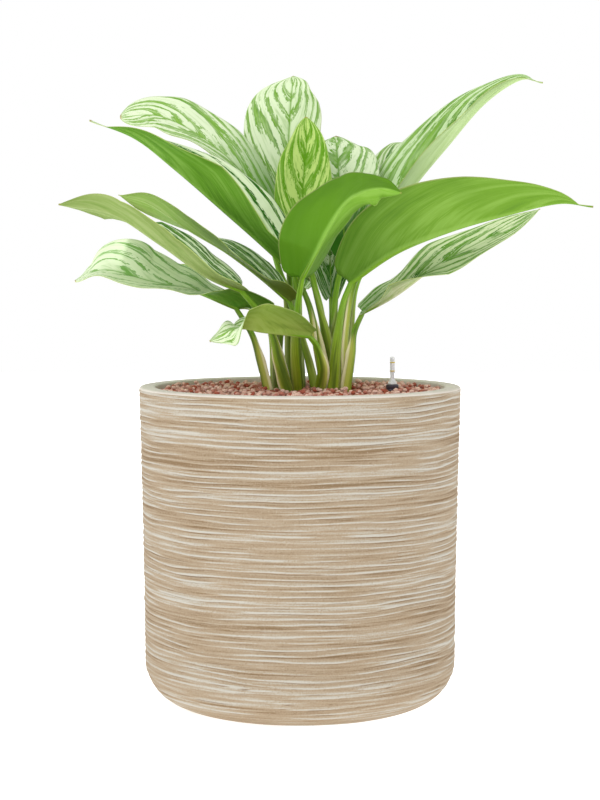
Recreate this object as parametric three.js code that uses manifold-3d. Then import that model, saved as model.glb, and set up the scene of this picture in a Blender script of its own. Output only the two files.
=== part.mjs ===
// A striped Chinese evergreen growing in fired clay granules, in a round ridged planter
// with a small water gauge. Millimetres, +Z up, the origin at the centre of the planter's
// underside. The side seen from the front faces -Y.
import * as THREE from 'three';
import { mergeVertices } from 'three/addons/utils/BufferGeometryUtils.js';
import Module from 'manifold-3d';

// Planter
const POT_HEIGHT = 345;
const RIM_RADIUS = 175;
const RIM_WIDTH = 18;
const RIM_ROUNDING = 3;
const FOOT_RADIUS = 170;
const FOOT_ROUNDING = 47;
const FLOOR_THICKNESS = 18;
const INNER_ROUNDING = 34;
const POT_SIDES = 40;
const BELLY_POWER = 1.6;
const RIDGE_ROWS = 32;
const RIDGE_RELIEF = 1.1;
const RIDGE_WANDER = 1.6;

// Granules
const GAP = 0.3;
const FILL_TOP = 339;
const FILL_RINGS = 8;
const FILL_BUMP = 2.4;

// Canes, each with a head that holds the stalks of its leaves in plain sockets
const CANE_SIDES = 20;
const CANE_FOOT = 236;
const CANE_RADIUS = 11;
const CANE_NECK = 288;
const HEAD_FOOT = 300;
const HEAD_TOP = 337;
const SOCKET_FOOT = 306;
const CANES = {
  left: { x: -18, y: 10, head: 24.5, ring: 17 },
  right: { x: 34, y: 8, head: 24.5, ring: 17 },
  back: { x: -6, y: 58, head: 21, ring: 13.5 },
  back_right: { x: 40, y: 58, head: 21, ring: 13.5 },
};

// Stalks and blades
const SOCKET_RADIUS = 5;
const SOCKET_GAP = 0.35;
const STALK_TOP_RADIUS = 2.7;
const STALK_SIDES = 6;
const STALK_STEPS = 7;
const SHEATH_SWELL = 0.3;
const SHEATH_END = 0.6;
const SHEATH_SKEW = 0.5;
const RIB_END_RADIUS = 1.1;
const RIB_REACH = [0.07, 0.18, 0.32];
const RIB_SINK = 0.95;
const BLADE_ROWS = [0, 0.04, 0.1, 0.19, 0.3, 0.42, 0.54, 0.66, 0.77, 0.88, 1];
const BLADE_COLUMNS = [-1, -0.55, 0, 0.55, 1];
const BLADE_THICKNESS = 1.0;
const RIB_THICKNESS = 1.9;
const THREAD_HALF_WIDTH = 0.9;
const BASE_HALF_WIDTH = 0.11;
const LOBE_LENGTH = 0.07;
const WAVE_HEIGHT = 1.5;
const WAVE_COUNT = 3;

// Water gauge
const GAUGE_X = 101;
const GAUGE_Y = 5;
const HOUSING_RADIUS = 6;
const HOUSING_WALL = 1.3;
const HOUSING_FOOT = 30;
const HOUSING_TOP = 337.4;
const COLLAR_RADIUS = 7;
const COLLAR_TOP = 346;
const COLLAR_BORE = 2;
const SIGHT_SHOULDER = 351;
const SIGHT_RADIUS = 2.5;
const SIGHT_BORE = 1.5;
const SIGHT_TOP = 376;
const FLOAT_RADIUS = 4.2;
const FLOAT_HEIGHT = 34;
const ROD_RADIUS = 0.9;
const ROD_TOP = 353;
const SLOT_WIDTH = 2.4;
const SLOT_HEIGHT = 40;
const GAUGE_SIDES = 12;

// Each leaf: the cane and the direction (degrees from +X) where its stalk stands, two points
// of the stalk, the midrib from the blade's base to its tip, the directions that the upper
// side faces along it, the flat width, how the width tapers to base and tip, how far each
// half folds up from flat (degrees, the half on the -side x rib x up first) and how far the
// base lobes reach back.
const LEAVES = [
  {
    name: 'leaf_left_low', slot: ['left', 180],
    stalk: [[-43, 10, 370], [-52, 4, 400]],
    rib: [[-69, 2, 432], [-113, -8, 449], [-161, -20, 459], [-209, -28, 471], [-241, -30, 459]],
    up: [[0, 0.1, 1], [0, -0.4, 0.9], [0, -0.5, 0.8], [0, -0.7, 0.7], [0, -0.7, 0.7]],
    width: 94, taper: [0.4, 0.75], end: 1, lobe: 42, fold: [[45, 24, 20, 22, 26, 35, 40], [25, 8, 5, 20, 48, -20, -40]],
  },
  {
    name: 'leaf_left_long', slot: ['left', 285],
    stalk: [[-23, -14, 374], [-34, -22, 412]],
    rib: [[-62, -33, 451], [-100, -58, 467], [-146, -82, 499], [-194, -102, 529], [-247, -115, 538]],
    up: [[0, 0, 1], [0, 0, 1], [0, 0, 1], [0, 0.35, 0.9], [0, 0.7, 0.7]],
    width: 86, taper: [0.55, 0.95], end: 1, lobe: 2, fold: [[-8, -2, 6, 8, 65], [52, 52, 42, 8, 40]],
  },
  {
    name: 'leaf_left_curled', slot: ['right', 176],
    stalk: [[10, 16, 370], [-2, 12, 411]],
    rib: [[-10, 12, 438], [-39, 4, 462], [-78, -4, 490], [-121, -8, 515], [-162, -8, 542], [-196, -5, 552]],
    up: [[0, 0, 1], [0, 0, 1], [0, 0, 1], [0, 0.2, 1], [0, 0.45, 0.9], [0, 0.5, 0.85]],
    width: 80, taper: [0.55, 0.95], end: 1, lobe: 3, fold: [[30, -3, 0, 8, 0, 0], [35, 38, 22, 12, -5, -20]],
  },
  {
    name: 'leaf_left_high', slot: ['right', 108],
    stalk: [[20, 26, 383], [11, 15, 429]],
    rib: [[-2, 5, 467], [-43, -15, 503], [-86, -33, 539], [-132, -49, 578], [-173, -61, 609], [-220, -67, 627]],
    up: [[0.6, 0, 0.8], [0.6, 0, 0.8], [0.6, 0, 0.8], [0.5, 0, 0.9]],
    width: 102, taper: [0.55, 0.95], end: 0.93, lobe: 12, fold: [[10, 16, 44, 32, 25], [55, 64, 56, 18, 10]],
  },
  {
    name: 'leaf_upper_left', slot: ['back', 250],
    stalk: [[-3, 52, 387], [-4, 56, 450]],
    rib: [[-14, 58, 513], [-67, 66, 582], [-112, 70, 620], [-157, 73, 642], [-201, 70, 641]],
    up: [[0.4, -0.3, 0.9], [0.4, -0.4, 0.8], [0.2, -0.55, 0.8], [0, -0.6, 0.8]],
    width: 88, taper: [0.6, 0.72], end: 1, lobe: 10, fold: [[15, 15, 14, 8, -12], [22, 20, 16, 12, 30]],
  },
  {
    name: 'leaf_top', slot: ['back', 110],
    stalk: [[-9, 76, 397], [-12, 80, 468]],
    rib: [[-17, 84, 531], [-15, 102, 575], [-13, 113, 616], [-11, 121, 653], [-9, 125, 676], [-8, 128, 692]],
    up: [[0.05, -1, 0.1], [0.05, -1, 0.2], [0, -1, 0.3], [0, -0.8, 0.6], [0, -0.5, 0.9], [0, -0.1, 1]],
    width: 104, taper: [0.75, 0.88], end: 1, lobe: 10, fold: [[14, 12, 8, 2, -3, -5], [45, 45, 46, 48, 53, 46]],
  },
  {
    name: 'leaf_top_young', slot: ['back_right', 235],
    stalk: [[28, 32, 399], [15, 25, 457]],
    rib: [[3, 25, 500], [3, 30, 536], [4, 33, 572], [7, 33, 606], [7, 31, 638]],
    up: [[0, -1, 0.1], [0, -1, 0.1], [0.05, -1, 0.1]],
    width: 68, taper: [0.5, 0.75], end: 1, lobe: 8, fold: [[25], [25]],
  },
  {
    name: 'leaf_top_right', slot: ['back_right', 295],
    stalk: [[40, 44, 387], [39, 44, 437]],
    rib: [[50, 50, 493], [47, 53, 539], [43, 57, 579], [41, 64, 605], [39, 76, 620]],
    up: [[0, -1, 0.1], [0, -1, 0.2], [0, -1, 0.4], [0, -0.6, 0.8], [0, -0.3, 1]],
    width: 90, taper: [0.6, 0.62], end: 1, lobe: 8, fold: [[15, 12, 5, -8, -12], [15, 12, 5, -8, -12]],
  },
  {
    name: 'leaf_behind_right', slot: ['back_right', 115],
    stalk: [[42, 84, 385], [52, 90, 436]],
    rib: [[77, 89, 487], [91, 99, 533], [105, 109, 572], [118, 119, 602], [128, 132, 618]],
    up: [[-0.2, -1, 0.2], [-0.3, -1, 0.3], [-0.3, -1, 0.4]],
    width: 72, taper: [0.55, 0.95], end: 1, lobe: 8, fold: [[18], [18]],
  },
  {
    name: 'leaf_upper_right', slot: ['right', 35],
    stalk: [[48, 24, 388], [59, 32, 454]],
    rib: [[82, 46, 500], [122, 54, 561], [164, 60, 610], [205, 64, 656], [245, 66, 682], [270, 64, 678]],
    up: [[-0.7, 0, 0.7], [-0.7, -0.05, 0.7], [-0.6, -0.1, 0.8]],
    width: 92, taper: [0.45, 1.4], end: 0.93, lobe: 8, fold: [[60, 62, 62, 50, 30], [18, 20, 22, 20, 20]],
  },
  {
    name: 'leaf_front_broad', slot: ['left', 340],
    stalk: [[-4, -26, 390], [-2, -40, 434]],
    rib: [[3, -55, 464], [17, -81, 490], [31, -104, 516], [46, -120, 539], [63, -129, 550], [83, -133, 554], [103, -130, 550]],
    up: [[0, 1, 0.2], [0, 1, 0.25], [-0.1, 0.95, 0.25], [-0.1, 0.95, 0.25], [-0.05, 0.95, 0.25], [0, 0.95, 0.25], [0, 1, 0.2]],
    width: 94, taper: [0.45, 0.9], end: 1, lobe: 7, fold: [[60, 66, 60, 48, 48, 45, 40], [0, 0, 50, 75, 70, 75, 60]],
  },
  {
    name: 'leaf_right_broad', slot: ['right', 275],
    stalk: [[39, -16, 385], [45, -28, 430]],
    rib: [[53, -33, 459], [101, -61, 491], [155, -81, 512], [212, -93, 528], [266, -99, 540], [302, -101, 536]],
    up: [[0, 0.15, 1], [0, 0.15, 1], [0, 0.2, 0.9], [0, 0.2, 0.9]],
    width: 117, taper: [0.52, 1.12], end: 0.92, lobe: 6, fold: [[30, 30, 40, 72, 60], [56, 66, 73, 47, 28]],
  },
  {
    name: 'leaf_right_low', slot: ['right', 345],
    stalk: [[56, 3, 378], [59, 2, 403]],
    rib: [[67, 0, 427], [104, -6, 446], [151, -10, 478], [208, -6, 508], [260, 0, 537]],
    up: [[0, -0.1, 1], [0, -0.1, 1], [0, -0.2, 0.9], [-0.2, -0.2, 0.9]],
    width: 76, taper: [0.55, 0.8], end: 1, lobe: 3, fold: [[34, 22, 27, 18, 16], [-15, 25, -8, -6, -6]],
  },
  {
    name: 'leaf_front_small', slot: ['right', 225],
    stalk: [[24, -22, 366], [18, -36, 389]],
    rib: [[10, -45, 403], [-17, -62, 406], [-42, -74, 408], [-60, -83, 411], [-76, -87, 407], [-94, -90, 397]],
    up: [[0, 0.2, 1], [0, 0.2, 1], [0, 0.2, 1], [-0.2, 0, 1], [0, -1, 0.2], [0, -1, 0.2]],
    width: 66, taper: [0.62, 1], end: 1, lobe: 4, fold: [[25, 34, 43, 48, 50, 47, 40, 20, 5, 3, 0], [48, 45, 40, 35, 35, 30, 10, -20, -45, -48, -45]],
  },
  {
    name: 'leaf_inner_young', slot: ['back_right', 175],
    stalk: [[35, 57, 387], [36, 57, 415]],
    rib: [[35, 58, 441], [34, 62, 476], [32, 66, 504], [31, 70, 532], [31, 74, 560]],
    up: [[0, -1, 0.1], [0, -1, 0.1], [0, -1, 0.1]],
    width: 48, taper: [0.55, 0.95], end: 1, lobe: 5, fold: [[25], [25]],
  },
  {
    name: 'leaf_back_left_high', slot: ['left', 60],
    stalk: [[-12, 46, 430], [-24, 75, 472]],
    rib: [[-38, 118, 525], [-58, 152, 556], [-80, 186, 578], [-98, 216, 588], [-110, 240, 584]],
    up: [[0.3, 0, 1]],
    width: 80, taper: [0.55, 0.95], end: 1, lobe: 8, fold: [[25], [25]],
  },
  {
    name: 'leaf_back_high', slot: ['back', 60],
    stalk: [[-2, 92, 395], [0, 108, 460]],
    rib: [[10, 125, 505], [14, 165, 560], [16, 205, 592], [18, 245, 603], [18, 285, 590]],
    up: [[0, -0.2, 1]],
    width: 86, taper: [0.55, 0.95], end: 1, lobe: 8, fold: [[22], [22]],
  },
  {
    name: 'leaf_back_right', slot: ['back_right', 45],
    stalk: [[56, 86, 400], [64, 108, 452]],
    rib: [[84, 128, 494], [124, 152, 524], [166, 172, 540], [204, 188, 545], [234, 200, 538]],
    up: [[0, 0, 1]],
    width: 84, taper: [0.55, 0.95], end: 1, lobe: 8, fold: [[22], [22]],
  },
  {
    name: 'leaf_back_low', slot: ['back', 180],
    stalk: [[-26, 76, 378], [-16, 106, 420]],
    rib: [[4, 132, 450], [20, 170, 480], [34, 210, 495], [44, 250, 490], [50, 285, 470]],
    up: [[0, 0, 1]],
    width: 78, taper: [0.55, 0.95], end: 1, lobe: 8, fold: [[22], [22]],
  },
  {
    name: 'leaf_back_left_low', slot: ['left', 120],
    stalk: [[-31, 54, 402], [-52, 78, 432]],
    rib: [[-70, 98, 452], [-96, 118, 464], [-122, 138, 470], [-146, 156, 470], [-165, 172, 464]],
    up: [[0, 0, 1]],
    width: 48, taper: [0.9, 0.9], end: 1, lobe: 0, fold: [[15], [15]],
  },
];

const COLOURS = {
  pot: 0xcabfa9,
  granules: 0xb4735c,
  cane: 0x6d6a3c,
  leaf: 0x86b851,
  gauge: 0x2e2833,
  clear: 0xdfe6e6,
  float: 0xc23a2c,
};

const wasm = await Module();
wasm.setup();

const material = (colour, roughness) =>
  new THREE.MeshStandardMaterial({ color: colour, roughness, metalness: 0 });

// A repeatable value in 0..1 for a whole number
function scatter(n) {
  const wave = Math.sin(n * 12.9898 + 78.233) * 43758.5453;
  return wave - Math.floor(wave);
}

// Merge a closed geometry's shared points and turn its faces outward
function closed(geometry) {
  geometry.deleteAttribute('normal');
  geometry.deleteAttribute('uv');
  const merged = mergeVertices(geometry, 1e-4);
  const p = merged.attributes.position;
  const index = Array.from(merged.index.array);
  const faces = [];
  let volume = 0;
  const [a, b, c] = [new THREE.Vector3(), new THREE.Vector3(), new THREE.Vector3()];
  for (let i = 0; i < index.length; i += 3) {
    const [i0, i1, i2] = index.slice(i, i + 3);
    if (i0 === i1 || i1 === i2 || i2 === i0) continue;
    a.fromBufferAttribute(p, i0);
    b.fromBufferAttribute(p, i1);
    c.fromBufferAttribute(p, i2);
    volume += a.dot(b.clone().cross(c)) / 6;
    faces.push([i0, i1, i2]);
  }
  const outward = faces.flatMap(([i0, i1, i2]) => (volume < 0 ? [i0, i2, i1] : [i0, i1, i2]));
  merged.setIndex(outward);
  return merged;
}

function toSolid(geometry) {
  const tidy = closed(geometry);
  return new wasm.Manifold(new wasm.Mesh({
    numProp: 3,
    vertProperties: Float32Array.from(tidy.attributes.position.array),
    triVerts: Uint32Array.from(tidy.index.array),
  }));
}

function toGeometry(solid) {
  const mesh = solid.getMesh();
  const geometry = new THREE.BufferGeometry();
  geometry.setAttribute('position', new THREE.BufferAttribute(new Float32Array(mesh.vertProperties), 3));
  geometry.setIndex(Array.from(mesh.triVerts));
  geometry.computeVertexNormals();
  return geometry;
}

// A turned body from a profile of [radius, height] points that starts and ends on the axis,
// or closes on itself
function turned(profile, sides) {
  const points = profile.map(([r, z]) => new THREE.Vector2(r, z));
  return new THREE.LatheGeometry(points, sides).rotateX(Math.PI / 2);
}

function named(name, geometry, finish) {
  const mesh = new THREE.Mesh(geometry, finish);
  mesh.name = name;
  return mesh;
}

// Planter: the outer side leans out slightly towards the rim and turns under in a round foot
function potRadius(z) {
  const down = (POT_HEIGHT - z) / (POT_HEIGHT - FOOT_ROUNDING);
  return RIM_RADIUS - (RIM_RADIUS - FOOT_RADIUS) * (1 - (1 - down) ** BELLY_POWER);
}

function arc(cx, cz, radius, from, to, steps) {
  return Array.from({ length: steps + 1 }, (_, i) => {
    const a = THREE.MathUtils.degToRad(from + ((to - from) * i) / steps);
    return [cx + radius * Math.cos(a), cz + radius * Math.sin(a)];
  });
}

const RIDGE_FOOT = FOOT_ROUNDING;
const RIDGE_TOP = POT_HEIGHT - 12;
const RIDGE_PITCH = (RIDGE_TOP - RIDGE_FOOT) / RIDGE_ROWS;
const innerRadius = RIM_RADIUS - RIM_WIDTH;

function pot() {
  const foot = arc(FOOT_RADIUS - FOOT_ROUNDING, FOOT_ROUNDING, FOOT_ROUNDING, -90, 0, 6);
  const rows = Array.from({ length: RIDGE_ROWS }, (_, i) => {
    const z = RIDGE_FOOT + (i + 1) * RIDGE_PITCH;
    return [potRadius(z), z];
  });
  const rim = arc(RIM_RADIUS - RIM_ROUNDING, POT_HEIGHT - RIM_ROUNDING, RIM_ROUNDING, 0, 90, 3);
  const inner = arc(innerRadius - INNER_ROUNDING, FLOOR_THICKNESS + INNER_ROUNDING, INNER_ROUNDING, 0, -90, 3);
  const profile = [[0, 0], ...foot, ...rows, ...rim, [innerRadius, POT_HEIGHT], ...inner, [0, FLOOR_THICKNESS]];
  const geometry = turned(profile, POT_SIDES);
  const p = geometry.attributes.position;
  for (let i = 0; i < p.count; i++) {
    const [x, y, z] = [p.getX(i), p.getY(i), p.getZ(i)];
    const radius = Math.hypot(x, y);
    if (radius < innerRadius + 1 || z <= RIDGE_FOOT + 1 || z >= RIDGE_TOP + 1) continue;
    const row = Math.round((z - RIDGE_FOOT) / RIDGE_PITCH);
    const angle = Math.atan2(y, x);
    const phase = scatter(row) * Math.PI * 2;
    const strength = 0.65 + 0.35 * Math.sin(2 * angle + phase);
    const side = row % 2 === 0 ? 1 : -1;
    const moved = 1 + (side * RIDGE_RELIEF * strength) / radius;
    const lift = RIDGE_WANDER * Math.sin(3 * angle + phase + row);
    p.setXYZ(i, x * moved, y * moved, z + lift);
  }
  return named('pot', closed(geometry), material(COLOURS.pot, 0.85));
}

// Canes: a short buried stem that widens into a head of old leaf bases
function caneSolid(cane, grow) {
  const profile = [
    [0, CANE_FOOT - grow],
    [CANE_RADIUS + grow, CANE_FOOT - grow],
    [CANE_RADIUS + grow, CANE_NECK - grow],
    [cane.head + grow, HEAD_FOOT - grow],
    [cane.head + grow, HEAD_TOP + (grow > 0 ? 20 : 0)],
    [0, HEAD_TOP + (grow > 0 ? 20 : 0)],
  ];
  return toSolid(turned(profile, CANE_SIDES).translate(cane.x, cane.y, 0));
}

// Stalks
const vector = (p) => new THREE.Vector3(...p);

function along(points, t) {
  const curve = new THREE.CatmullRomCurve3(points, false, 'catmullrom', 0.5);
  return curve.getPoint(Math.min(Math.max(t, 0), 1));
}

// Where a leaf's stalk stands: the socket's foot, a point just above it and the surface
function socket(leaf) {
  const cane = CANES[leaf.slot[0]];
  const angle = THREE.MathUtils.degToRad(leaf.slot[1]);
  const out = new THREE.Vector3(Math.cos(angle), Math.sin(angle), 0);
  const place = (distance, z) => new THREE.Vector3(cane.x, cane.y, z).addScaledVector(out, distance);
  return { out, foot: place(cane.ring - 1, SOCKET_FOOT), surface: place(cane.ring, FILL_TOP + 1) };
}

// A list's value at t in 0..1, straight between its entries
function between(list, t) {
  const place = t * (list.length - 1);
  const i = Math.min(Math.floor(place), list.length - 2);
  return list.length === 1 ? list[0] : list[i] + (list[i + 1] - list[i]) * (place - i);
}

function ribFrame(leaf, s) {
  const rib = leaf.rib.map(vector);
  const reach = 0.004;
  const here = along(rib, s);
  const forward = along(rib, s + reach).sub(along(rib, s - reach)).normalize();
  const hint = [0, 1, 2].map((axis) => between(leaf.up.map((u) => u[axis]), s));
  const up = vector(hint);
  up.addScaledVector(forward, -up.dot(forward)).normalize();
  const across = new THREE.Vector3().crossVectors(forward, up);
  return { here, forward, up, across };
}

// A tube through rings of { centre, facing, radius, wide }, wide being its width across
// the facing direction against its depth
function tube(rings) {
  const steps = rings.length - 1;
  const geometry = new THREE.CylinderGeometry(1, 1, 1, STALK_SIDES, steps);
  const frames = rings.map(({ centre, facing, radius, wide }, k) => {
    const before = rings[Math.max(k - 1, 0)].centre;
    const after = rings[Math.min(k + 1, steps)].centre;
    const forward = after.clone().sub(before).normalize();
    const side = new THREE.Vector3().crossVectors(forward, facing).normalize();
    const front = new THREE.Vector3().crossVectors(side, forward);
    return { centre, side: side.multiplyScalar(radius * wide), front: front.multiplyScalar(radius) };
  });
  const p = geometry.attributes.position;
  for (let i = 0; i < p.count; i++) {
    const frame = frames[Math.round((0.5 - p.getY(i)) * steps)];
    const point = frame.centre.clone();
    point.addScaledVector(frame.side, p.getX(i)).addScaledVector(frame.front, p.getZ(i));
    p.setXYZ(i, point.x, point.y, point.z);
  }
  return geometry;
}

// The stalk's rings: straight out of its socket, then along a curve to the blade's base and
// on under the midrib. The sheath at its foot makes it wider across.
function stalkRings(leaf) {
  const { out, foot, surface } = socket(leaf);
  const base = ribFrame(leaf, 0);
  const inward = out.clone().negate();
  const under = (s, radius) => {
    const frame = ribFrame(leaf, s);
    return { centre: frame.here.addScaledVector(frame.up, -radius * RIB_SINK), facing: frame.up, radius, wide: 1 };
  };
  const start = under(0, STALK_TOP_RADIUS);
  const rise = [surface, ...leaf.stalk.map(vector), start.centre];
  const rings = [{ centre: foot, facing: inward, radius: SOCKET_RADIUS, wide: 1 }];
  for (let k = 0; k < STALK_STEPS; k++) {
    const t = k / STALK_STEPS;
    const swell = t < SHEATH_END ? Math.sin(Math.PI * (t / SHEATH_END) ** SHEATH_SKEW) : 0;
    rings.push({
      centre: along(rise, t),
      facing: inward.clone().lerp(base.up, t),
      radius: SOCKET_RADIUS + (STALK_TOP_RADIUS - SOCKET_RADIUS) * t,
      wide: 1 + SHEATH_SWELL * swell,
    });
  }
  rings.push(start);
  RIB_REACH.forEach((s, k) => {
    const fade = (k + 1) / RIB_REACH.length;
    rings.push(under(s, STALK_TOP_RADIUS + (RIB_END_RADIUS - STALK_TOP_RADIUS) * fade));
  });
  return rings;
}

// The socket that the stalk stands in: its straight foot, a little larger, run up past the top
function socketSolid(leaf) {
  const [foot, surface] = stalkRings(leaf);
  const axis = surface.centre.clone().sub(foot.centre).normalize();
  const grown = [foot.centre.clone().addScaledVector(axis, -GAP), surface.centre.clone().addScaledVector(axis, 6)];
  return toSolid(tube(grown.map((centre) => ({ ...foot, centre, radius: SOCKET_RADIUS + SOCKET_GAP }))));
}

// A point of the blade's upper side at s along the midrib and p across it (-1 to 1), with
// the direction that the surface faces there
function bladePoint(leaf, s, p) {
  const { here, forward, up, across } = ribFrame(leaf, s);
  const hand = p < 0 ? -1 : 1;
  const q = Math.abs(p);
  const [a, b] = leaf.taper;
  const widest = a / (a + b);
  const u = Math.min(s / leaf.end, 1);
  const share = (u ** a * (1 - u) ** b) / (widest ** a * (1 - widest) ** b);
  const half = leaf.width / 2;
  const reach = (Math.max(half * share, THREAD_HALF_WIDTH) + half * BASE_HALF_WIDTH * 2 * Math.exp(-s / 0.03)) * q;
  const angle = THREE.MathUtils.degToRad(between(leaf.fold[p < 0 ? 0 : 1], s));
  const back = leaf.lobe * q ** 1.2 * Math.exp(-s / LOBE_LENGTH);
  const wave = WAVE_HEIGHT * Math.sin(2 * Math.PI * WAVE_COUNT * s + hand) * q * q * Math.min(1, 8 * s) * (1 - 0.3 * s);
  const facing = across.clone().multiplyScalar(-Math.sin(angle) * hand).addScaledVector(up, Math.cos(angle));
  here.addScaledVector(across, reach * Math.cos(angle) * hand);
  here.addScaledVector(up, reach * Math.sin(angle));
  here.addScaledVector(forward, -back).addScaledVector(facing, wave);
  return { point: here, facing: q === 0 ? up : facing };
}

// The blade: a thin closed sheet, split into triangles alike on its two sides
function bladeGeometry(leaf) {
  const rows = BLADE_ROWS.length;
  const columns = BLADE_COLUMNS.length;
  const positions = [];
  for (const depth of [0, 1]) {
    for (const s of BLADE_ROWS) {
      for (const p of BLADE_COLUMNS) {
        const { point, facing } = bladePoint(leaf, s, p);
        const thickness = THREE.MathUtils.lerp(RIB_THICKNESS, BLADE_THICKNESS, Math.min(1, Math.abs(p) * 2));
        positions.push(...point.addScaledVector(facing, -depth * thickness));
      }
    }
  }
  const at = (depth, row, column) => depth * rows * columns + row * columns + column;
  const index = [];
  const quad = (i0, i1, i2, i3) => index.push(i0, i1, i2, i0, i2, i3);
  for (let row = 0; row + 1 < rows; row++) {
    for (let column = 0; column + 1 < columns; column++) {
      const corners = [[row, column], [row + 1, column], [row + 1, column + 1], [row, column + 1]];
      const [t0, t1, t2, t3] = corners.map(([r, c]) => at(0, r, c));
      const [b0, b1, b2, b3] = corners.map(([r, c]) => at(1, r, c));
      if (column < (columns - 1) / 2) {
        quad(t0, t1, t2, t3);
        index.push(b0, b2, b1, b0, b3, b2);
      } else {
        index.push(t0, t1, t3, t1, t2, t3);
        index.push(b0, b3, b1, b1, b3, b2);
      }
    }
    quad(at(0, row, 0), at(1, row, 0), at(1, row + 1, 0), at(0, row + 1, 0));
    const last = columns - 1;
    quad(at(0, row, last), at(0, row + 1, last), at(1, row + 1, last), at(1, row, last));
  }
  for (let column = 0; column + 1 < columns; column++) {
    quad(at(0, 0, column), at(0, 0, column + 1), at(1, 0, column + 1), at(1, 0, column));
    const end = rows - 1;
    quad(at(0, end, column), at(1, end, column), at(1, end, column + 1), at(0, end, column + 1));
  }
  const geometry = new THREE.BufferGeometry();
  geometry.setAttribute('position', new THREE.Float32BufferAttribute(positions, 3));
  geometry.setIndex(index);
  return geometry;
}

function leafMesh(leaf) {
  const blade = toSolid(bladeGeometry(leaf));
  const stalk = toSolid(tube(stalkRings(leaf)));
  return named(leaf.name, toGeometry(blade.add(stalk)), material(COLOURS.leaf, 0.45));
}

// Granules: one fill with a pebbly top and plain holes for the canes and the gauge
function granules() {
  const radius = innerRadius - GAP;
  const foot = FLOOR_THICKNESS + GAP;
  const corner = arc(radius - INNER_ROUNDING, foot + INNER_ROUNDING, INNER_ROUNDING, -90, 0, 3);
  const top = Array.from({ length: FILL_RINGS }, (_, k) => [radius * (1 - (k + 0.35) / FILL_RINGS), FILL_TOP]);
  const edge = [radius, FILL_TOP - FILL_BUMP];
  const geometry = closed(turned([[0, foot], ...corner, edge, ...top, [0, FILL_TOP]], POT_SIDES));
  const p = geometry.attributes.position;
  for (let i = 0; i < p.count; i++) {
    if (p.getZ(i) < FILL_TOP - 1) continue;
    p.setZ(i, FILL_TOP + FILL_BUMP * (2 * scatter(i) - 1));
  }
  let fill = toSolid(geometry);
  for (const cane of Object.values(CANES)) fill = fill.subtract(caneSolid(cane, GAP));
  const well = [[0, HOUSING_FOOT - GAP], [HOUSING_RADIUS + GAP, HOUSING_FOOT - GAP],
    [HOUSING_RADIUS + GAP, HOUSING_TOP - 3], [COLLAR_RADIUS + GAP, HOUSING_TOP - 3],
    [COLLAR_RADIUS + GAP, FILL_TOP + 20], [0, FILL_TOP + 20]];
  fill = fill.subtract(toSolid(turned(well, GAUGE_SIDES).translate(GAUGE_X, GAUGE_Y, 0)));
  return named('granules', toGeometry(fill), material(COLOURS.granules, 0.9));
}

function canes() {
  return Object.entries(CANES).map(([name, cane]) => {
    let solid = caneSolid(cane, 0);
    for (const leaf of LEAVES.filter(({ slot }) => slot[0] === name)) solid = solid.subtract(socketSolid(leaf));
    return named(`stem_${name}`, toGeometry(solid), material(COLOURS.cane, 0.8));
  });
}

// Water gauge: housing with water slots, collar, clear sight tube, and the float with its rod
function gaugePiece(name, profile, finish) {
  return named(name, closed(turned(profile, GAUGE_SIDES).translate(GAUGE_X, GAUGE_Y, 0)), finish);
}

function gauge() {
  const bore = HOUSING_RADIUS - HOUSING_WALL;
  const tubeProfile = [
    [0, HOUSING_FOOT], [HOUSING_RADIUS, HOUSING_FOOT], [HOUSING_RADIUS, HOUSING_TOP], [bore, HOUSING_TOP],
    [bore, HOUSING_FOOT + 2], [0, HOUSING_FOOT + 2],
  ];
  const slots = new THREE.BoxGeometry(HOUSING_RADIUS * 3, SLOT_WIDTH, SLOT_HEIGHT);
  slots.translate(GAUGE_X, GAUGE_Y, HOUSING_FOOT + 6 + SLOT_HEIGHT / 2);
  const whole = toSolid(turned(tubeProfile, GAUGE_SIDES).translate(GAUGE_X, GAUGE_Y, 0));
  const housing = named('gauge_housing', toGeometry(whole.subtract(toSolid(slots))), material(COLOURS.gauge, 0.5));
  const collar = gaugePiece('gauge_collar', [
    [COLLAR_BORE, HOUSING_TOP + GAP], [COLLAR_RADIUS, HOUSING_TOP + GAP], [COLLAR_RADIUS, COLLAR_TOP - 1],
    [COLLAR_RADIUS - 1, COLLAR_TOP], [COLLAR_BORE, COLLAR_TOP], [COLLAR_BORE, HOUSING_TOP + GAP],
  ], material(COLOURS.gauge, 0.4));
  const sight = gaugePiece('gauge_sight_tube', [
    [0, SIGHT_TOP], [SIGHT_RADIUS - 0.8, SIGHT_TOP], [SIGHT_RADIUS, SIGHT_TOP - 1], [SIGHT_RADIUS, SIGHT_SHOULDER],
    [COLLAR_RADIUS - 1, COLLAR_TOP + GAP + 1.5], [COLLAR_RADIUS - 1, COLLAR_TOP + GAP],
    [SIGHT_BORE, COLLAR_TOP + GAP], [SIGHT_BORE, SIGHT_TOP - 2], [0, SIGHT_TOP - 2],
  ], material(COLOURS.clear, 0.05));
  const rest = HOUSING_FOOT + 2 + GAP;
  const float = gaugePiece('gauge_float', [
    [0, rest], [FLOAT_RADIUS, rest], [FLOAT_RADIUS, rest + FLOAT_HEIGHT], [ROD_RADIUS, rest + FLOAT_HEIGHT + 2],
    [ROD_RADIUS, ROD_TOP], [0, ROD_TOP],
  ], material(COLOURS.float, 0.4));
  return [housing, collar, sight, float];
}

const plant = new THREE.Group();
plant.add(...LEAVES.map(leafMesh), ...canes());

const part = new THREE.Group();
part.add(pot(), granules(), plant, ...gauge());

export default part;
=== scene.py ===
# %% [markdown]
# # A potted striped Chinese evergreen
# A round ridged planter is filled with fired clay granules. Four short canes stand in them, and
# each long stalk that rises from a cane carries one striped leaf. A small water gauge stands at
# the right. Lengths in this lesson are in millimetres, because that is how a maker thinks of
# them, and MM turns them into Blender's metres when a point is placed.

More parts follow.
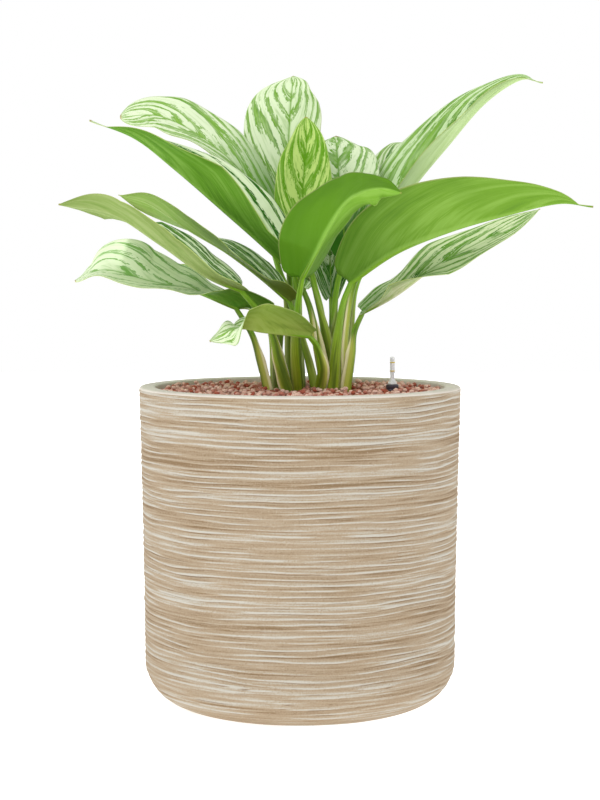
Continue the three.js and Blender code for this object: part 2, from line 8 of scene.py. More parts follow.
# %% Load the frame
import bmesh
import bpy
import math
import random
from mathutils import Matrix, Vector, noise


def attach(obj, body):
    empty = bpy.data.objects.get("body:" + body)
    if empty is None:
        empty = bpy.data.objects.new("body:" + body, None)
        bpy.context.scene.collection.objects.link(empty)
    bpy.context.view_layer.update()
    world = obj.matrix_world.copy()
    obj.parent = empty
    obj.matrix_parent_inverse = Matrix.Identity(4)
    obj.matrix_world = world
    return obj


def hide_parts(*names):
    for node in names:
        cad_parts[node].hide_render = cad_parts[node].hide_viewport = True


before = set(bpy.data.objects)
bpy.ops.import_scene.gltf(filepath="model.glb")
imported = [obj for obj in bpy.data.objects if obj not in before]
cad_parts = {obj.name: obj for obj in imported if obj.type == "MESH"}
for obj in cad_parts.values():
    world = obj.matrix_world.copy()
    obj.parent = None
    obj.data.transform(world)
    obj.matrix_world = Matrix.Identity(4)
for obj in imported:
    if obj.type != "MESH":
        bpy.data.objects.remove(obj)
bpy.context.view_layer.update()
MM = 0.001

# %% [markdown]
# ## Camera
# The photograph looks at the planter from just above the rim, from about two metres away with a
# long lens, so the rim is a thin ellipse and the sides stay nearly upright. The numbers come from
# fitting the planter's outline. They come first, so that every later look is from the same place.

# %% Camera
CAMERA_DISTANCE = 2.048
CAMERA_HEIGHT = 0.481
CAMERA_DIP = 4.24
CAMERA_LENS = 84.65

camera = bpy.data.objects.new("camera", bpy.data.cameras.new("camera"))
bpy.context.scene.collection.objects.link(camera)
camera.location = (0, -CAMERA_DISTANCE, CAMERA_HEIGHT)
camera.rotation_euler = (math.radians(90 - CAMERA_DIP), 0, 0)
camera.data.lens = CAMERA_LENS
camera.data.sensor_width = 36
camera.data.clip_end = 50
bpy.context.scene.camera = camera
print("camera at", tuple(camera.location))

# %% [markdown]
# ## Light
# The room is plain white and the light is very soft, as in a light tent: hardly any shadow, a
# little brighter from above and the left. A white world does most of it. One wide lamp above the
# front left gives the ridges their thin dark undersides, and a weak one fills the right.

# %% Light
ROOM_STRENGTH = 0.92
AIM = (0, 0, 0.4)


def lamp(name, place, size, power):
    light = bpy.data.lights.new(name, "AREA")
    light.shape = "DISK"
    light.size = size
    light.energy = power
    lamp_object = bpy.data.objects.new(name, light)
    lamp_object.location = place
    lamp_object.rotation_euler = (Vector(AIM) - Vector(place)).to_track_quat("-Z", "Y").to_euler()
    bpy.context.scene.collection.objects.link(lamp_object)


world = bpy.data.worlds.new("white_room")
world.use_nodes = True
background = world.node_tree.nodes["Background"]
background.inputs["Color"].default_value = (1, 1, 1, 1)
seen_directly = world.node_tree.nodes.new("ShaderNodeLightPath").outputs["Is Camera Ray"]
room_light = world.node_tree.nodes.new("ShaderNodeMapRange")
room_light.inputs["To Min"].default_value = ROOM_STRENGTH
room_light.inputs["To Max"].default_value = 1.0
world.node_tree.links.new(seen_directly, room_light.inputs["Value"])
world.node_tree.links.new(room_light.outputs[0], background.inputs["Strength"])
bpy.context.scene.world = world
bpy.context.scene.view_settings.view_transform = "Standard"
lamp("overhead", (-1.3, -1.4, 2.3), 2.0, 16)
lamp("right_fill", (2.2, -1.6, 1.2), 1.4, 0.5)
print("a white world and two lamps")

# %% [markdown]
# ## Helpers for meshes
# Most pieces are made the same way: an operator gives an even grid or a spun profile, a rule
# moves each point to its place, and each point keeps the two numbers that say where on the piece
# it lies. Those numbers become the piece's UV map, so that veins and streaks follow its surface.

# %% Colours and new pieces
def linear(level):
    """One channel of a colour, 0 to 255 as a screen shows it, as the value that a shader mixes"""
    return level / 255 / 12.92 if level <= 10 else ((level / 255 + 0.055) / 1.055) ** 2.4


def colour(red, green, blue):
    return linear(red), linear(green), linear(blue), 1


def new_piece(name, bm, materials, node):
    """The mesh as an object that rides on the one body, in place of a node of the plain model, which is
    hidden
    """
    mesh = bpy.data.meshes.new(name)
    bm.to_mesh(mesh)
    bm.free()
    for face in mesh.polygons:
        face.use_smooth = True
    for material in materials:
        mesh.materials.append(material)
    piece = bpy.data.objects.new(name, mesh)
    bpy.context.scene.collection.objects.link(piece)
    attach(piece, "root")
    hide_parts(node)
    return piece


print("white, as a shader mixes it:", colour(255, 255, 255))

# %% Grids and turned bodies
def mapped_grid(bm, rows, columns, place, material_index):
    """An even grid, each point moved to place(along, across) for along in 0..1, across in -1..1"""
    made = bmesh.ops.create_grid(bm, x_segments=rows, y_segments=columns, size=1.0)["verts"]
    uv = bm.loops.layers.uv.verify()
    for face in {face for vert in made for face in vert.link_faces}:
        face.material_index = material_index
    for vert in made:
        vert.co, map_place = place((vert.co.x + 1) / 2, vert.co.y)
        for loop in vert.link_loops:
            loop[uv].uv = map_place
    return made


def spun(bm, profile, steps):
    """A body turned from a profile of (radius, height) points that starts and ends on the axis"""
    ring = [bm.verts.new((r * MM, 0, z * MM)) for r, z in profile]
    edges = [bm.edges.new(pair) for pair in zip(ring, ring[1:])]
    bmesh.ops.spin(bm, geom=ring + edges, cent=(0, 0, 0), axis=(0, 0, 1), angle=2 * math.pi,
                   steps=steps, use_merge=True)
    bmesh.ops.remove_doubles(bm, verts=bm.verts[:], dist=0.00001)
    bmesh.ops.recalc_face_normals(bm, faces=bm.faces[:])


def arc(centre_r, centre_z, radius, start, stop, steps):
    turn = [math.radians(start + (stop - start) * k / steps) for k in range(steps + 1)]
    return [(centre_r + radius * math.cos(a), centre_z + radius * math.sin(a)) for a in turn]


def closed_and_outward(piece):
    bm = bmesh.new()
    bm.from_mesh(piece.data)
    open_edges = sum(not edge.is_manifold for edge in bm.edges)
    volume = bm.calc_volume(signed=True)
    bm.free()
    print(f"{piece.name}: {len(piece.data.polygons)} faces, {open_edges} open edges, {volume * 1e6:.1f} ml")


print("a quarter of a circle:", arc(0, 0, 1, 0, 90, 2))

# %% [markdown]
# ## Helpers for materials
# A shader is a small program drawn as boxes. These few functions write the boxes in the order in
# which one would say them: a sum, a noise, a mix of two colours. Each effect that several
# finishes share is a group, built once and placed with its own values.

# %% Sums in a shader
def feed(tree, socket, value):
    """A link where the value is another box's output, and otherwise a plain setting"""
    if isinstance(value, bpy.types.NodeSocket):
        tree.links.new(value, socket)
    else:
        socket.default_value = value


def maths(tree, operation, *values, clamp=False):
    node = tree.nodes.new("ShaderNodeMath")
    node.operation = operation
    node.use_clamp = clamp
    for socket, value in zip(node.inputs, values):
        feed(tree, socket, value)
    return node.outputs[0]


def times(tree, first, second, clamp=False):
    return maths(tree, "MULTIPLY", first, second, clamp=clamp)


def plus(tree, first, second):
    return maths(tree, "ADD", first, second)


def minus(tree, first, second):
    return maths(tree, "SUBTRACT", first, second)


def scaled(tree, value, factor, shift):
    return maths(tree, "MULTIPLY_ADD", value, factor, shift)


def swing(tree, value, breadth):
    """A value of 0 to 1 turned into one that swings about zero, this far from end to end"""
    return scaled(tree, value, breadth, -breadth / 2)


print("sums ready")

# %% Places, grains and mixes
def point(tree, x, y, z):
    node = tree.nodes.new("ShaderNodeCombineXYZ")
    for socket, value in zip(node.inputs, (x, y, z)):
        feed(tree, socket, value)
    return node.outputs[0]


def split(tree, vector):
    node = tree.nodes.new("ShaderNodeSeparateXYZ")
    feed(tree, node.inputs[0], vector)
    return list(node.outputs)


def coordinates(tree, kind):
    return tree.nodes.new("ShaderNodeTexCoord").outputs[kind]


def stored(tree, name):
    """A number that each point of the mesh carries"""
    node = tree.nodes.new("ShaderNodeAttribute")
    node.attribute_name = name
    return node.outputs["Fac"]


def grain(tree, place, scale=1.0, detail=2.0, roughness=0.5):
    node = tree.nodes.new("ShaderNodeTexNoise")
    for name, value in (("Vector", place), ("Scale", scale), ("Detail", detail), ("Roughness", roughness)):
        feed(tree, node.inputs[name], value)
    return node.outputs["Fac"]


def step(tree, value, low, high, out_low=0.0, out_high=1.0):
    """A soft step: out_low below low, out_high above high"""
    node = tree.nodes.new("ShaderNodeMapRange")
    node.interpolation_type = "SMOOTHSTEP"
    for socket, entry in zip(node.inputs, (value, low, high, out_low, out_high)):
        feed(tree, socket, entry)
    return node.outputs[0]


def blend(tree, share, first, second):
    node = tree.nodes.new("ShaderNodeMix")
    node.data_type = "RGBA"
    feed(tree, node.inputs["Factor"], share)
    for name, value in (("A", first), ("B", second)):
        feed(tree, [s for s in node.inputs if s.name == name and s.type == "RGBA"][0], value)
    return [s for s in node.outputs if s.type == "RGBA"][0]


def coats(tree, ground, *layers):
    """Coat upon coat over the ground colour: each layer is (how much of it shows, its colour)"""
    for share, paint in layers:
        ground = blend(tree, share, ground, paint)
    return ground


print("places, grains and mixes ready")

# %% Groups and finishes
def group(name, numbers, colours, outputs):
    """An empty shader group that takes a place, numbers and colours; gives its tree, inputs and outputs"""
    tree = bpy.data.node_groups.new(name, "ShaderNodeTree")
    sockets = [("Place", "INPUT", "Vector")]
    sockets += [(entry, "INPUT", "Float") for entry in numbers]
    sockets += [(entry, "INPUT", "Color") for entry in colours]
    sockets += [(entry, "OUTPUT", "Color" if entry == "Color" else "Float") for entry in outputs]
    for entry, way, kind in sockets:
        tree.interface.new_socket(entry, in_out=way, socket_type="NodeSocket" + kind)
    given = tree.nodes.new("NodeGroupInput").outputs
    return tree, given, tree.nodes.new("NodeGroupOutput").inputs


def placed(tree, group_tree, look):
    """The group in a material, each socket filled from the look: "Pale share" from pale_share"""
    node = tree.nodes.new("ShaderNodeGroup")
    node.node_tree = group_tree
    for socket in node.inputs:
        value = look[socket.name.lower().replace(" ", "_")]
        feed(tree, socket, colour(*value) if isinstance(value, tuple) else value)
    return node.outputs


def finish(name, roughness, specular):
    """A new material; gives it, its tree and its Principled shader"""
    material = bpy.data.materials.new(name)
    material.use_nodes = True
    shader = material.node_tree.nodes["Principled BSDF"]
    shader.inputs["Roughness"].default_value = roughness
    shader.inputs["Specular IOR Level"].default_value = specular
    return material, material.node_tree, shader


def surface(tree, shader, paint, height, distance, strength):
    """The paint on the shader, and a fine relief that bends its light"""
    tree.links.new(paint, shader.inputs["Base Color"])
    relief = tree.nodes.new("ShaderNodeBump")
    relief.inputs["Distance"].default_value = distance
    relief.inputs["Strength"].default_value = strength
    tree.links.new(height, relief.inputs["Height"])
    tree.links.new(relief.outputs["Normal"], shader.inputs["Normal"])


print("groups and finishes ready")

# %% [markdown]
# ## Floor
# The floor is as white as the room, and the pot hardly darkens it. A plain sheet would turn grey
# here, so this one also glows: less under the pot, more further out, which leaves a faint shadow.

# %% Floor
FLOOR_HALF_SIZE = 6

floor_bm = bmesh.new()
bmesh.ops.create_grid(floor_bm, x_segments=1, y_segments=1, size=FLOOR_HALF_SIZE)
floor_mesh = bpy.data.meshes.new("floor")
floor_bm.to_mesh(floor_mesh)
floor_bm.free()
floor = bpy.data.objects.new("floor", floor_mesh)
bpy.context.scene.collection.objects.link(floor)
floor_paint, tree, shader = finish("floor_paint", 0.9, 0.5)
shader.inputs["Base Color"].default_value = (0.9, 0.9, 0.9, 1)
shader.inputs["Emission Strength"].default_value = 1.0
reach = tree.nodes.new("ShaderNodeVectorMath")
reach.operation = "LENGTH"
tree.links.new(coordinates(tree, "Object"), reach.inputs[0])
glow = step(tree, reach.outputs["Value"], 0.12, 0.5, 0.75, 0.9)
tree.links.new(glow, shader.inputs["Emission Color"])
floor_mesh.materials.append(floor_paint)
print("floor:", 2 * FLOOR_HALF_SIZE, "m wide")

# %% [markdown]
# ## The leaves' shape
# A leaf is one grown piece: a stalk with a sheath at its foot, which runs on as a round rib under
# the blade. Here a few listed points per leaf say where the stalk and the midrib run. The
# blade is an even grid, bent by a rule: it widens and narrows along the midrib, folds up on both
# sides, and waves at its margin. A sculpted mesh would be hard to change later; these numbers
# are not. The rule is the one that made the plain solids, so the fine leaf lies where they lie.
# In the table, up turns the blade about its midrib, taper says how slowly it widens and narrows,
# lobe how far its base reaches back, and fold how steeply each half rises, in degrees.

# %% Where each leaf runs
LEAVES = [
    dict(name="leaf_left_low", slot=("left", 180),
         stalk=[[-43, 10, 370], [-52, 4, 400]],
         rib=[[-69, 2, 432], [-113, -8, 449], [-161, -20, 459], [-209, -28, 471], [-241, -30, 459]],
         up=[[0, 0.1, 1], [0, -0.4, 0.9], [0, -0.5, 0.8], [0, -0.7, 0.7], [0, -0.7, 0.7]],
         width=94, taper=[0.4, 0.75], lobe=42,
         fold=[[45, 24, 20, 22, 26, 35, 40], [25, 8, 5, 20, 48, -20, -40]]),
    dict(name="leaf_left_long", slot=("left", 285),
         stalk=[[-23, -14, 374], [-34, -22, 412]],
         rib=[[-62, -33, 451], [-100, -58, 467], [-146, -82, 499], [-194, -102, 529],
              [-247, -115, 538]],
         up=[[0, 0, 1], [0, 0, 1], [0, 0, 1], [0, 0.35, 0.9], [0, 0.7, 0.7]],
         width=86, lobe=2, fold=[[-8, -2, 6, 8, 65], [52, 52, 42, 8, 40]]),
    dict(name="leaf_left_curled", slot=("right", 176),
         stalk=[[10, 16, 370], [-2, 12, 411]],
         rib=[[-10, 12, 438], [-39, 4, 462], [-78, -4, 490], [-121, -8, 515],
              [-162, -8, 542], [-196, -5, 552]],
         up=[[0, 0, 1], [0, 0, 1], [0, 0, 1], [0, 0.2, 1], [0, 0.45, 0.9], [0, 0.5, 0.85]],
         width=80, lobe=3, fold=[[30, -3, 0, 8, 0, 0], [35, 38, 22, 12, -5, -20]]),
    dict(name="leaf_left_high", slot=("right", 108),
         stalk=[[20, 26, 383], [11, 15, 429]],
         rib=[[-2, 5, 467], [-43, -15, 503], [-86, -33, 539], [-132, -49, 578],
              [-173, -61, 609], [-220, -67, 627]],
         up=[[0.6, 0, 0.8], [0.6, 0, 0.8], [0.6, 0, 0.8], [0.5, 0, 0.9]],
         width=102, end=0.93, lobe=12, fold=[[10, 16, 44, 32, 25], [55, 64, 56, 18, 10]]),
    dict(name="leaf_upper_left", slot=("back", 250),
         stalk=[[-3, 52, 387], [-4, 56, 450]],
         rib=[[-14, 58, 513], [-67, 66, 582], [-112, 70, 620], [-157, 73, 642], [-201, 70, 641]],
         up=[[0.4, -0.3, 0.9], [0.4, -0.4, 0.8], [0.2, -0.55, 0.8], [0, -0.6, 0.8]],
         width=88, taper=[0.6, 0.72], lobe=10, fold=[[15, 15, 14, 8, -12], [22, 20, 16, 12, 30]]),
    dict(name="leaf_top", slot=("back", 110),
         stalk=[[-9, 76, 397], [-12, 80, 468]],
         rib=[[-17, 84, 531], [-15, 102, 575], [-13, 113, 616], [-11, 121, 653],
              [-9, 125, 676], [-8, 128, 692]],
         up=[[0.05, -1, 0.1], [0.05, -1, 0.2], [0, -1, 0.3], [0, -0.8, 0.6], [0, -0.5, 0.9], [0, -0.1, 1]],
         width=104, taper=[0.75, 0.88], lobe=10,
         fold=[[14, 12, 8, 2, -3, -5], [45, 45, 46, 48, 53, 46]]),
    dict(name="leaf_top_young", slot=("back_right", 235),
         stalk=[[28, 32, 399], [15, 25, 457]],
         rib=[[3, 25, 500], [3, 30, 536], [4, 33, 572], [7, 33, 606], [7, 31, 638]],
         up=[[0, -1, 0.1], [0, -1, 0.1], [0.05, -1, 0.1]],
         width=68, taper=[0.5, 0.75], fold=[[25], [25]]),
    dict(name="leaf_top_right", slot=("back_right", 295),
         stalk=[[40, 44, 387], [39, 44, 437]],
         rib=[[50, 50, 493], [47, 53, 539], [43, 57, 579], [41, 64, 605], [39, 76, 620]],
         up=[[0, -1, 0.1], [0, -1, 0.2], [0, -1, 0.4], [0, -0.6, 0.8], [0, -0.3, 1]],
         width=90, taper=[0.6, 0.62], fold=[[15, 12, 5, -8, -12], [15, 12, 5, -8, -12]]),
    dict(name="leaf_behind_right", slot=("back_right", 115),
         stalk=[[42, 84, 385], [52, 90, 436]],
         rib=[[77, 89, 487], [91, 99, 533], [105, 109, 572], [118, 119, 602], [128, 132, 618]],
         up=[[-0.2, -1, 0.2], [-0.3, -1, 0.3], [-0.3, -1, 0.4]],
         width=72, fold=[[18], [18]]),
    dict(name="leaf_upper_right", slot=("right", 35),
         stalk=[[48, 24, 388], [59, 32, 454]],
         rib=[[82, 46, 500], [122, 54, 561], [164, 60, 610], [205, 64, 656],
              [245, 66, 682], [270, 64, 678]],
         up=[[-0.7, 0, 0.7], [-0.7, -0.05, 0.7], [-0.6, -0.1, 0.8]],
         width=92, taper=[0.45, 1.4], end=0.93, fold=[[60, 62, 62, 50, 30], [18, 20, 22, 20, 20]]),
    dict(name="leaf_front_broad", slot=("left", 340),
         stalk=[[-4, -26, 390], [-2, -40, 434]],
         rib=[[3, -55, 464], [17, -81, 490], [31, -104, 516], [46, -120, 539], [63, -129, 550],
              [83, -133, 554], [103, -130, 550]],
         up=[[0, 1, 0.2], [0, 1, 0.25], [-0.1, 0.95, 0.25], [-0.1, 0.95, 0.25], [-0.05, 0.95, 0.25],
             [0, 0.95, 0.25], [0, 1, 0.2]],
         width=94, taper=[0.45, 0.9], lobe=7,
         fold=[[60, 66, 60, 48, 48, 45, 40], [0, 0, 50, 75, 70, 75, 60]]),
    dict(name="leaf_right_broad", slot=("right", 275),
         stalk=[[39, -16, 385], [45, -28, 430]],
         rib=[[53, -33, 459], [101, -61, 491], [155, -81, 512], [212, -93, 528],
              [266, -99, 540], [302, -101, 536]],
         up=[[0, 0.15, 1], [0, 0.15, 1], [0, 0.2, 0.9], [0, 0.2, 0.9]],
         width=117, taper=[0.52, 1.12], end=0.92, lobe=6,
         fold=[[30, 30, 40, 72, 60], [56, 66, 73, 47, 28]]),
    dict(name="leaf_right_low", slot=("right", 345),
         stalk=[[56, 3, 378], [59, 2, 403]],
         rib=[[67, 0, 427], [104, -6, 446], [151, -10, 478], [208, -6, 508], [260, 0, 537]],
         up=[[0, -0.1, 1], [0, -0.1, 1], [0, -0.2, 0.9], [-0.2, -0.2, 0.9]],
         width=76, taper=[0.55, 0.8], lobe=3, fold=[[34, 22, 27, 18, 16], [-15, 25, -8, -6, -6]]),
    dict(name="leaf_front_small", slot=("right", 225),
         stalk=[[24, -22, 366], [18, -36, 389]],
         rib=[[10, -45, 403], [-17, -62, 406], [-42, -74, 408], [-60, -83, 411],
              [-76, -87, 407], [-94, -90, 397]],
         up=[[0, 0.2, 1], [0, 0.2, 1], [0, 0.2, 1], [-0.2, 0, 1], [0, -1, 0.2], [0, -1, 0.2]],
         width=66, taper=[0.62, 1], lobe=4,
         fold=[[25, 34, 43, 48, 50, 47, 40, 20, 5, 3, 0], [48, 45, 40, 35, 35, 30, 10, -20, -45, -48, -45]]),
    dict(name="leaf_inner_young", slot=("back_right", 175),
         stalk=[[35, 57, 387], [36, 57, 415]],
         rib=[[35, 58, 441], [34, 62, 476], [32, 66, 504], [31, 70, 532], [31, 74, 560]],
         up=[[0, -1, 0.1], [0, -1, 0.1], [0, -1, 0.1]],
         width=48, lobe=5, fold=[[25], [25]]),
    dict(name="leaf_back_left_high", slot=("left", 60),
         stalk=[[-12, 46, 430], [-24, 75, 472]],
         rib=[[-38, 118, 525], [-58, 152, 556], [-80, 186, 578], [-98, 216, 588], [-110, 240, 584]],
         up=[[0.3, 0, 1]],
         width=80, fold=[[25], [25]]),
    dict(name="leaf_back_high", slot=("back", 60),
         stalk=[[-2, 92, 395], [0, 108, 460]],
         rib=[[10, 125, 505], [14, 165, 560], [16, 205, 592], [18, 245, 603], [18, 285, 590]],
         up=[[0, -0.2, 1]],
         width=86, fold=[[22], [22]]),
    dict(name="leaf_back_right", slot=("back_right", 45),
         stalk=[[56, 86, 400], [64, 108, 452]],
         rib=[[84, 128, 494], [124, 152, 524], [166, 172, 540], [204, 188, 545], [234, 200, 538]],
         width=84, fold=[[22], [22]]),
    dict(name="leaf_back_low", slot=("back", 180),
         stalk=[[-26, 76, 378], [-16, 106, 420]],
         rib=[[4, 132, 450], [20, 170, 480], [34, 210, 495], [44, 250, 490], [50, 285, 470]],
         width=78, fold=[[22], [22]]),
    dict(name="leaf_back_left_low", slot=("left", 120),
         stalk=[[-31, 54, 402], [-52, 78, 432]],
         rib=[[-70, 98, 452], [-96, 118, 464], [-122, 138, 470], [-146, 156, 470],
              [-165, 172, 464]],
         width=48, taper=[0.9, 0.9], lobe=0, fold=[[15], [15]]),
]
COMMON_SHAPE = dict(up=[[0, 0, 1]], taper=[0.55, 0.95], end=1, lobe=8)
for leaf in LEAVES:
    for key, value in COMMON_SHAPE.items():
        leaf.setdefault(key, value)
CANE_HEADS = {"left": (-18, 10, 17), "right": (34, 8, 17), "back": (-6, 58, 13.5),
              "back_right": (40, 58, 13.5)}
print(len(LEAVES), "leaves on", len(CANE_HEADS), "canes")

# %% The rule that bends a blade
STALK_FOOT_HEIGHT, GRANULE_TOP = 322, 340
STALK_FOOT_RADIUS, STALK_TOP_RADIUS, RIB_END_RADIUS = 5.0, 2.7, 1.1
BASE_HALF_WIDTH, BASE_LENGTH, LOBE_LENGTH = 0.22, 0.03, 0.07
TIP_HALF_WIDTH = 0.9
WAVE_HEIGHT, WAVE_COUNT = 1.5, 3


def smooth_path(points, t):
    """A point on a smooth curve through all the points"""
    last = len(points) - 1
    index = min(int(t * last), last - 1)
    w = t * last - index
    a, b = points[index], points[index + 1]
    before = points[index - 1] if index > 0 else a * 2 - b
    after = points[index + 2] if index + 2 <= last else b * 2 - a
    leave, arrive = (b - before) / 2, (after - a) / 2
    cubed, squared = 2 * a - 2 * b + leave + arrive, 3 * b - 3 * a - 2 * leave - arrive
    return cubed * w ** 3 + squared * w ** 2 + leave * w + a


def between(values, t):
    if len(values) == 1:
        return values[0]
    place = (len(values) - 1) * t
    index = min(int(place), len(values) - 2)
    return values[index] + (values[index + 1] - values[index]) * (place - index)


def ramp(value, low, high):
    t = min(max((value - low) / (high - low), 0), 1)
    return t * t * (3 - 2 * t)


def rib_frame(leaf, s):
    """At s along the midrib: the point, the way it runs, the way up and the way across"""
    ahead, behind = min(s + 0.004, 1), max(s - 0.004, 0)
    forward = (smooth_path(leaf["rib"], ahead) - smooth_path(leaf["rib"], behind)).normalized()
    up = between(leaf["up"], s)
    up = (up - forward * up.dot(forward)).normalized()
    return smooth_path(leaf["rib"], s), forward, up, forward.cross(up)


def blade_share(leaf, s):
    a, b = leaf["taper"]
    widest = a / (a + b)
    u = min(s / leaf["end"], 1)
    return u ** a * (1 - u) ** b / (widest ** a * (1 - widest) ** b)


def blade_point(leaf, s, p):
    """The upper side at s along and p across (-1 to 1), with its outward direction and its reach"""
    here, forward, up, across = leaf["frames"](s)
    hand, q = (1 if p >= 0 else -1), abs(p)
    half = leaf["width"] / 2
    base_width = half * BASE_HALF_WIDTH * math.exp(-s / BASE_LENGTH)
    reach = (max(half * blade_share(leaf, s), TIP_HALF_WIDTH) + base_width) * q
    angle = math.radians(between(leaf["fold"][0 if hand < 0 else 1], s))
    back = leaf["lobe"] * q ** 1.2 * math.exp(-s / LOBE_LENGTH)
    wave = WAVE_HEIGHT * math.sin(2 * math.pi * WAVE_COUNT * s + hand)
    wave *= q * q * min(1, 8 * s) * (1 - 0.3 * s)
    facing = across * (-hand * math.sin(angle)) + up * math.cos(angle)
    spread = across * (hand * reach * math.cos(angle)) + up * (reach * math.sin(angle))
    return here + spread - forward * back + facing * wave, facing, up, reach


widening, narrowing = COMMON_SHAPE["taper"]
print("a blade of the common shape is widest at", round(widening / (widening + narrowing), 2))

# %% [markdown]
# ## The two faces of a blade
# A real blade is less than a millimetre thick, sinks a little along the midrib and each side vein,
# and ruffles towards its margin. A single sheet would have no thickness to export. So two grids
# follow the rule, the lower one with the midrib on it, and their edges are bridged.

# %% The two faces of a blade
BLADE_LENGTHWISE, BLADE_CROSSWISE = 104, 40
MARGIN_THICKNESS, BLADE_THICKNESS = 0.55, 0.9
VEIN_COUNT, VEIN_DEPTH = 17, 0.22
VEIN_START, VEIN_SWEEP, VEIN_POWER = 0.28, 0.30, 2.3
RUFFLE_HEIGHT = 1.3


def vein_slant(q):
    """How far forward a side vein has run when it is q of the way to the margin"""
    return VEIN_START * q + VEIN_SWEEP * q ** VEIN_POWER


def crowded(p):
    """Columns lie closer together near the midrib, where the surface bends most"""
    return math.copysign(abs(p) ** 1.35, p)


def upper_face(leaf, s, p):
    place, facing, up, reach = blade_point(leaf, s, p)
    q = abs(p)
    ease = ramp(reach, 0, 3.0)
    facing = (up * (1 - ease) + facing * ease).normalized()
    wide = min(1, leaf["width"] * blade_share(leaf, s) / 30)
    vein = math.cos(2 * math.pi * VEIN_COUNT * (s - vein_slant(q)))
    vein *= VEIN_DEPTH * wide * ramp(q, 0.02, 0.3) * ramp(1 - q, 0, 0.3)
    ruffle = noise.noise(Vector((s * 9, q * 1.5 + (3 if p < 0 else 0), leaf["seed"])))
    ruffle *= RUFFLE_HEIGHT * ramp(q, 0.45, 1) * wide
    groove = 0.5 * math.exp(-(reach / 1.3) ** 2) * (1 - s)
    return place + facing * (vein + ruffle - groove), facing, reach


def rib_height(s):
    return 2.6 * (1 - ramp(s, 0, 0.5)) + 1.1 * (1 - ramp(s, 0.3, 0.98))


def lower_face(leaf, s, p):
    place, facing, reach = upper_face(leaf, s, p)
    rib = rib_height(s) * math.exp(-(reach / (1.2 + 1.6 * (1 - ramp(s, 0, 0.6)))) ** 2)
    wall = BLADE_THICKNESS + (MARGIN_THICKNESS - BLADE_THICKNESS) * abs(p)
    return place - facing * (wall + rib)


def add_blade(bm, leaf):
    def upper_spot(along, across):
        p = crowded(across)
        return upper_face(leaf, along, p)[0] * MM, (along, (p + 1) / 2)

    def lower_spot(along, across):
        p = crowded(across)
        return lower_face(leaf, along, p) * MM, (along, (p + 1) / 2)

    mapped_grid(bm, BLADE_LENGTHWISE, BLADE_CROSSWISE, upper_spot, 0)
    mapped_grid(bm, BLADE_LENGTHWISE, BLADE_CROSSWISE, lower_spot, 1)
    rims = [edge for edge in bm.edges if edge.is_boundary]
    bridged = bmesh.ops.bridge_loops(bm, edges=rims)["faces"]
    uv = bm.loops.layers.uv.verify()
    for face in bridged:
        face.material_index = 2
        for loop in face.loops:
            known = [other[uv].uv.copy() for other in loop.vert.link_loops if other.face not in bridged]
            loop[uv].uv = known[0] if known else (0.5, 0.5)
    bmesh.ops.recalc_face_normals(bm, faces=bm.faces[:])


print("the rib is", round(rib_height(0), 1), "mm high at the base of a blade")

# %% [markdown]
# ## The stalks
# A Chinese evergreen's stalk is round near the blade and turns into an open sheath lower down:
# two thin pale wings that hold the next younger stalk. The stalk is a grid rolled into a tube
# round the same smooth path. Its section changes on the way: a groove opens on the inner side,
# and the two lips beside the groove are drawn out into wings.

# %% The stalk and its sheath
STALK_LENGTHWISE, STALK_ROUND = 50, 36
IN_GRANULES, UNDER_BLADE, RIB_SHARE = 0.06, 0.8, 0.32
SHEATH_TOP = 0.62
WING_PLACE, WING_BREADTH = 0.72, 0.075


def stalk_station(leaf, t):
    """Centre, way up the stalk, inner side and radius, at t from the foot to under the blade"""
    if t < IN_GRANULES:
        foot, surface = leaf["foot"], leaf["rise"][0]
        rising = surface - foot
        return foot + rising * (t / IN_GRANULES), rising.normalized(), leaf["inward"], STALK_FOOT_RADIUS
    if t <= UNDER_BLADE:
        k = (t - IN_GRANULES) / (UNDER_BLADE - IN_GRANULES)
        ahead = smooth_path(leaf["rise"], min(k + 0.01, 1))
        behind = smooth_path(leaf["rise"], max(k - 0.01, 0))
        inner = leaf["inward"] * (1 - k) + leaf["frames"](0)[2] * k
        radius = STALK_FOOT_RADIUS + (STALK_TOP_RADIUS - STALK_FOOT_RADIUS) * k
        return smooth_path(leaf["rise"], k), (ahead - behind).normalized(), inner, radius
    s = (t - UNDER_BLADE) / (1 - UNDER_BLADE) * RIB_SHARE
    here, forward, up = leaf["frames"](s)[:3]
    radius = STALK_TOP_RADIUS + (RIB_END_RADIUS - STALK_TOP_RADIUS) * s / RIB_SHARE
    return here - up * radius * 0.95, forward, up, radius


def stalk_surface(leaf, t, v):
    """v runs once round the stalk, -1 to 1, with 0 on the outer side and both ends in the groove"""
    centre, forward, inner, radius = stalk_station(leaf, t)
    side = forward.cross(inner).normalized()
    front = side.cross(forward)
    k = max(t - IN_GRANULES, 0) / (UNDER_BLADE - IN_GRANULES)
    sheath = ramp(SHEATH_TOP - k, 0, 0.30) * (1 - 0.25 * ramp(0.12 - k, 0, 0.12))
    turn = v * math.pi
    groove = ramp(abs(v), 0.74, 1.0) * (0.62 * sheath + 0.12)
    out = side * math.sin(turn) - front * math.cos(turn)
    wing = sheath * leaf["sheath"] * math.exp(-((abs(v) - WING_PLACE) / WING_BREADTH) ** 2)
    lip = side * math.copysign(0.75, v) + front * 0.65
    ripple = 1 + 0.25 * noise.noise(Vector((k * 7, v, leaf["seed"])))
    breadth = radius * (1 - groove) * (1 + 0.3 * sheath * abs(math.sin(turn)))
    return centre + out * breadth + lip * (wing * ripple)


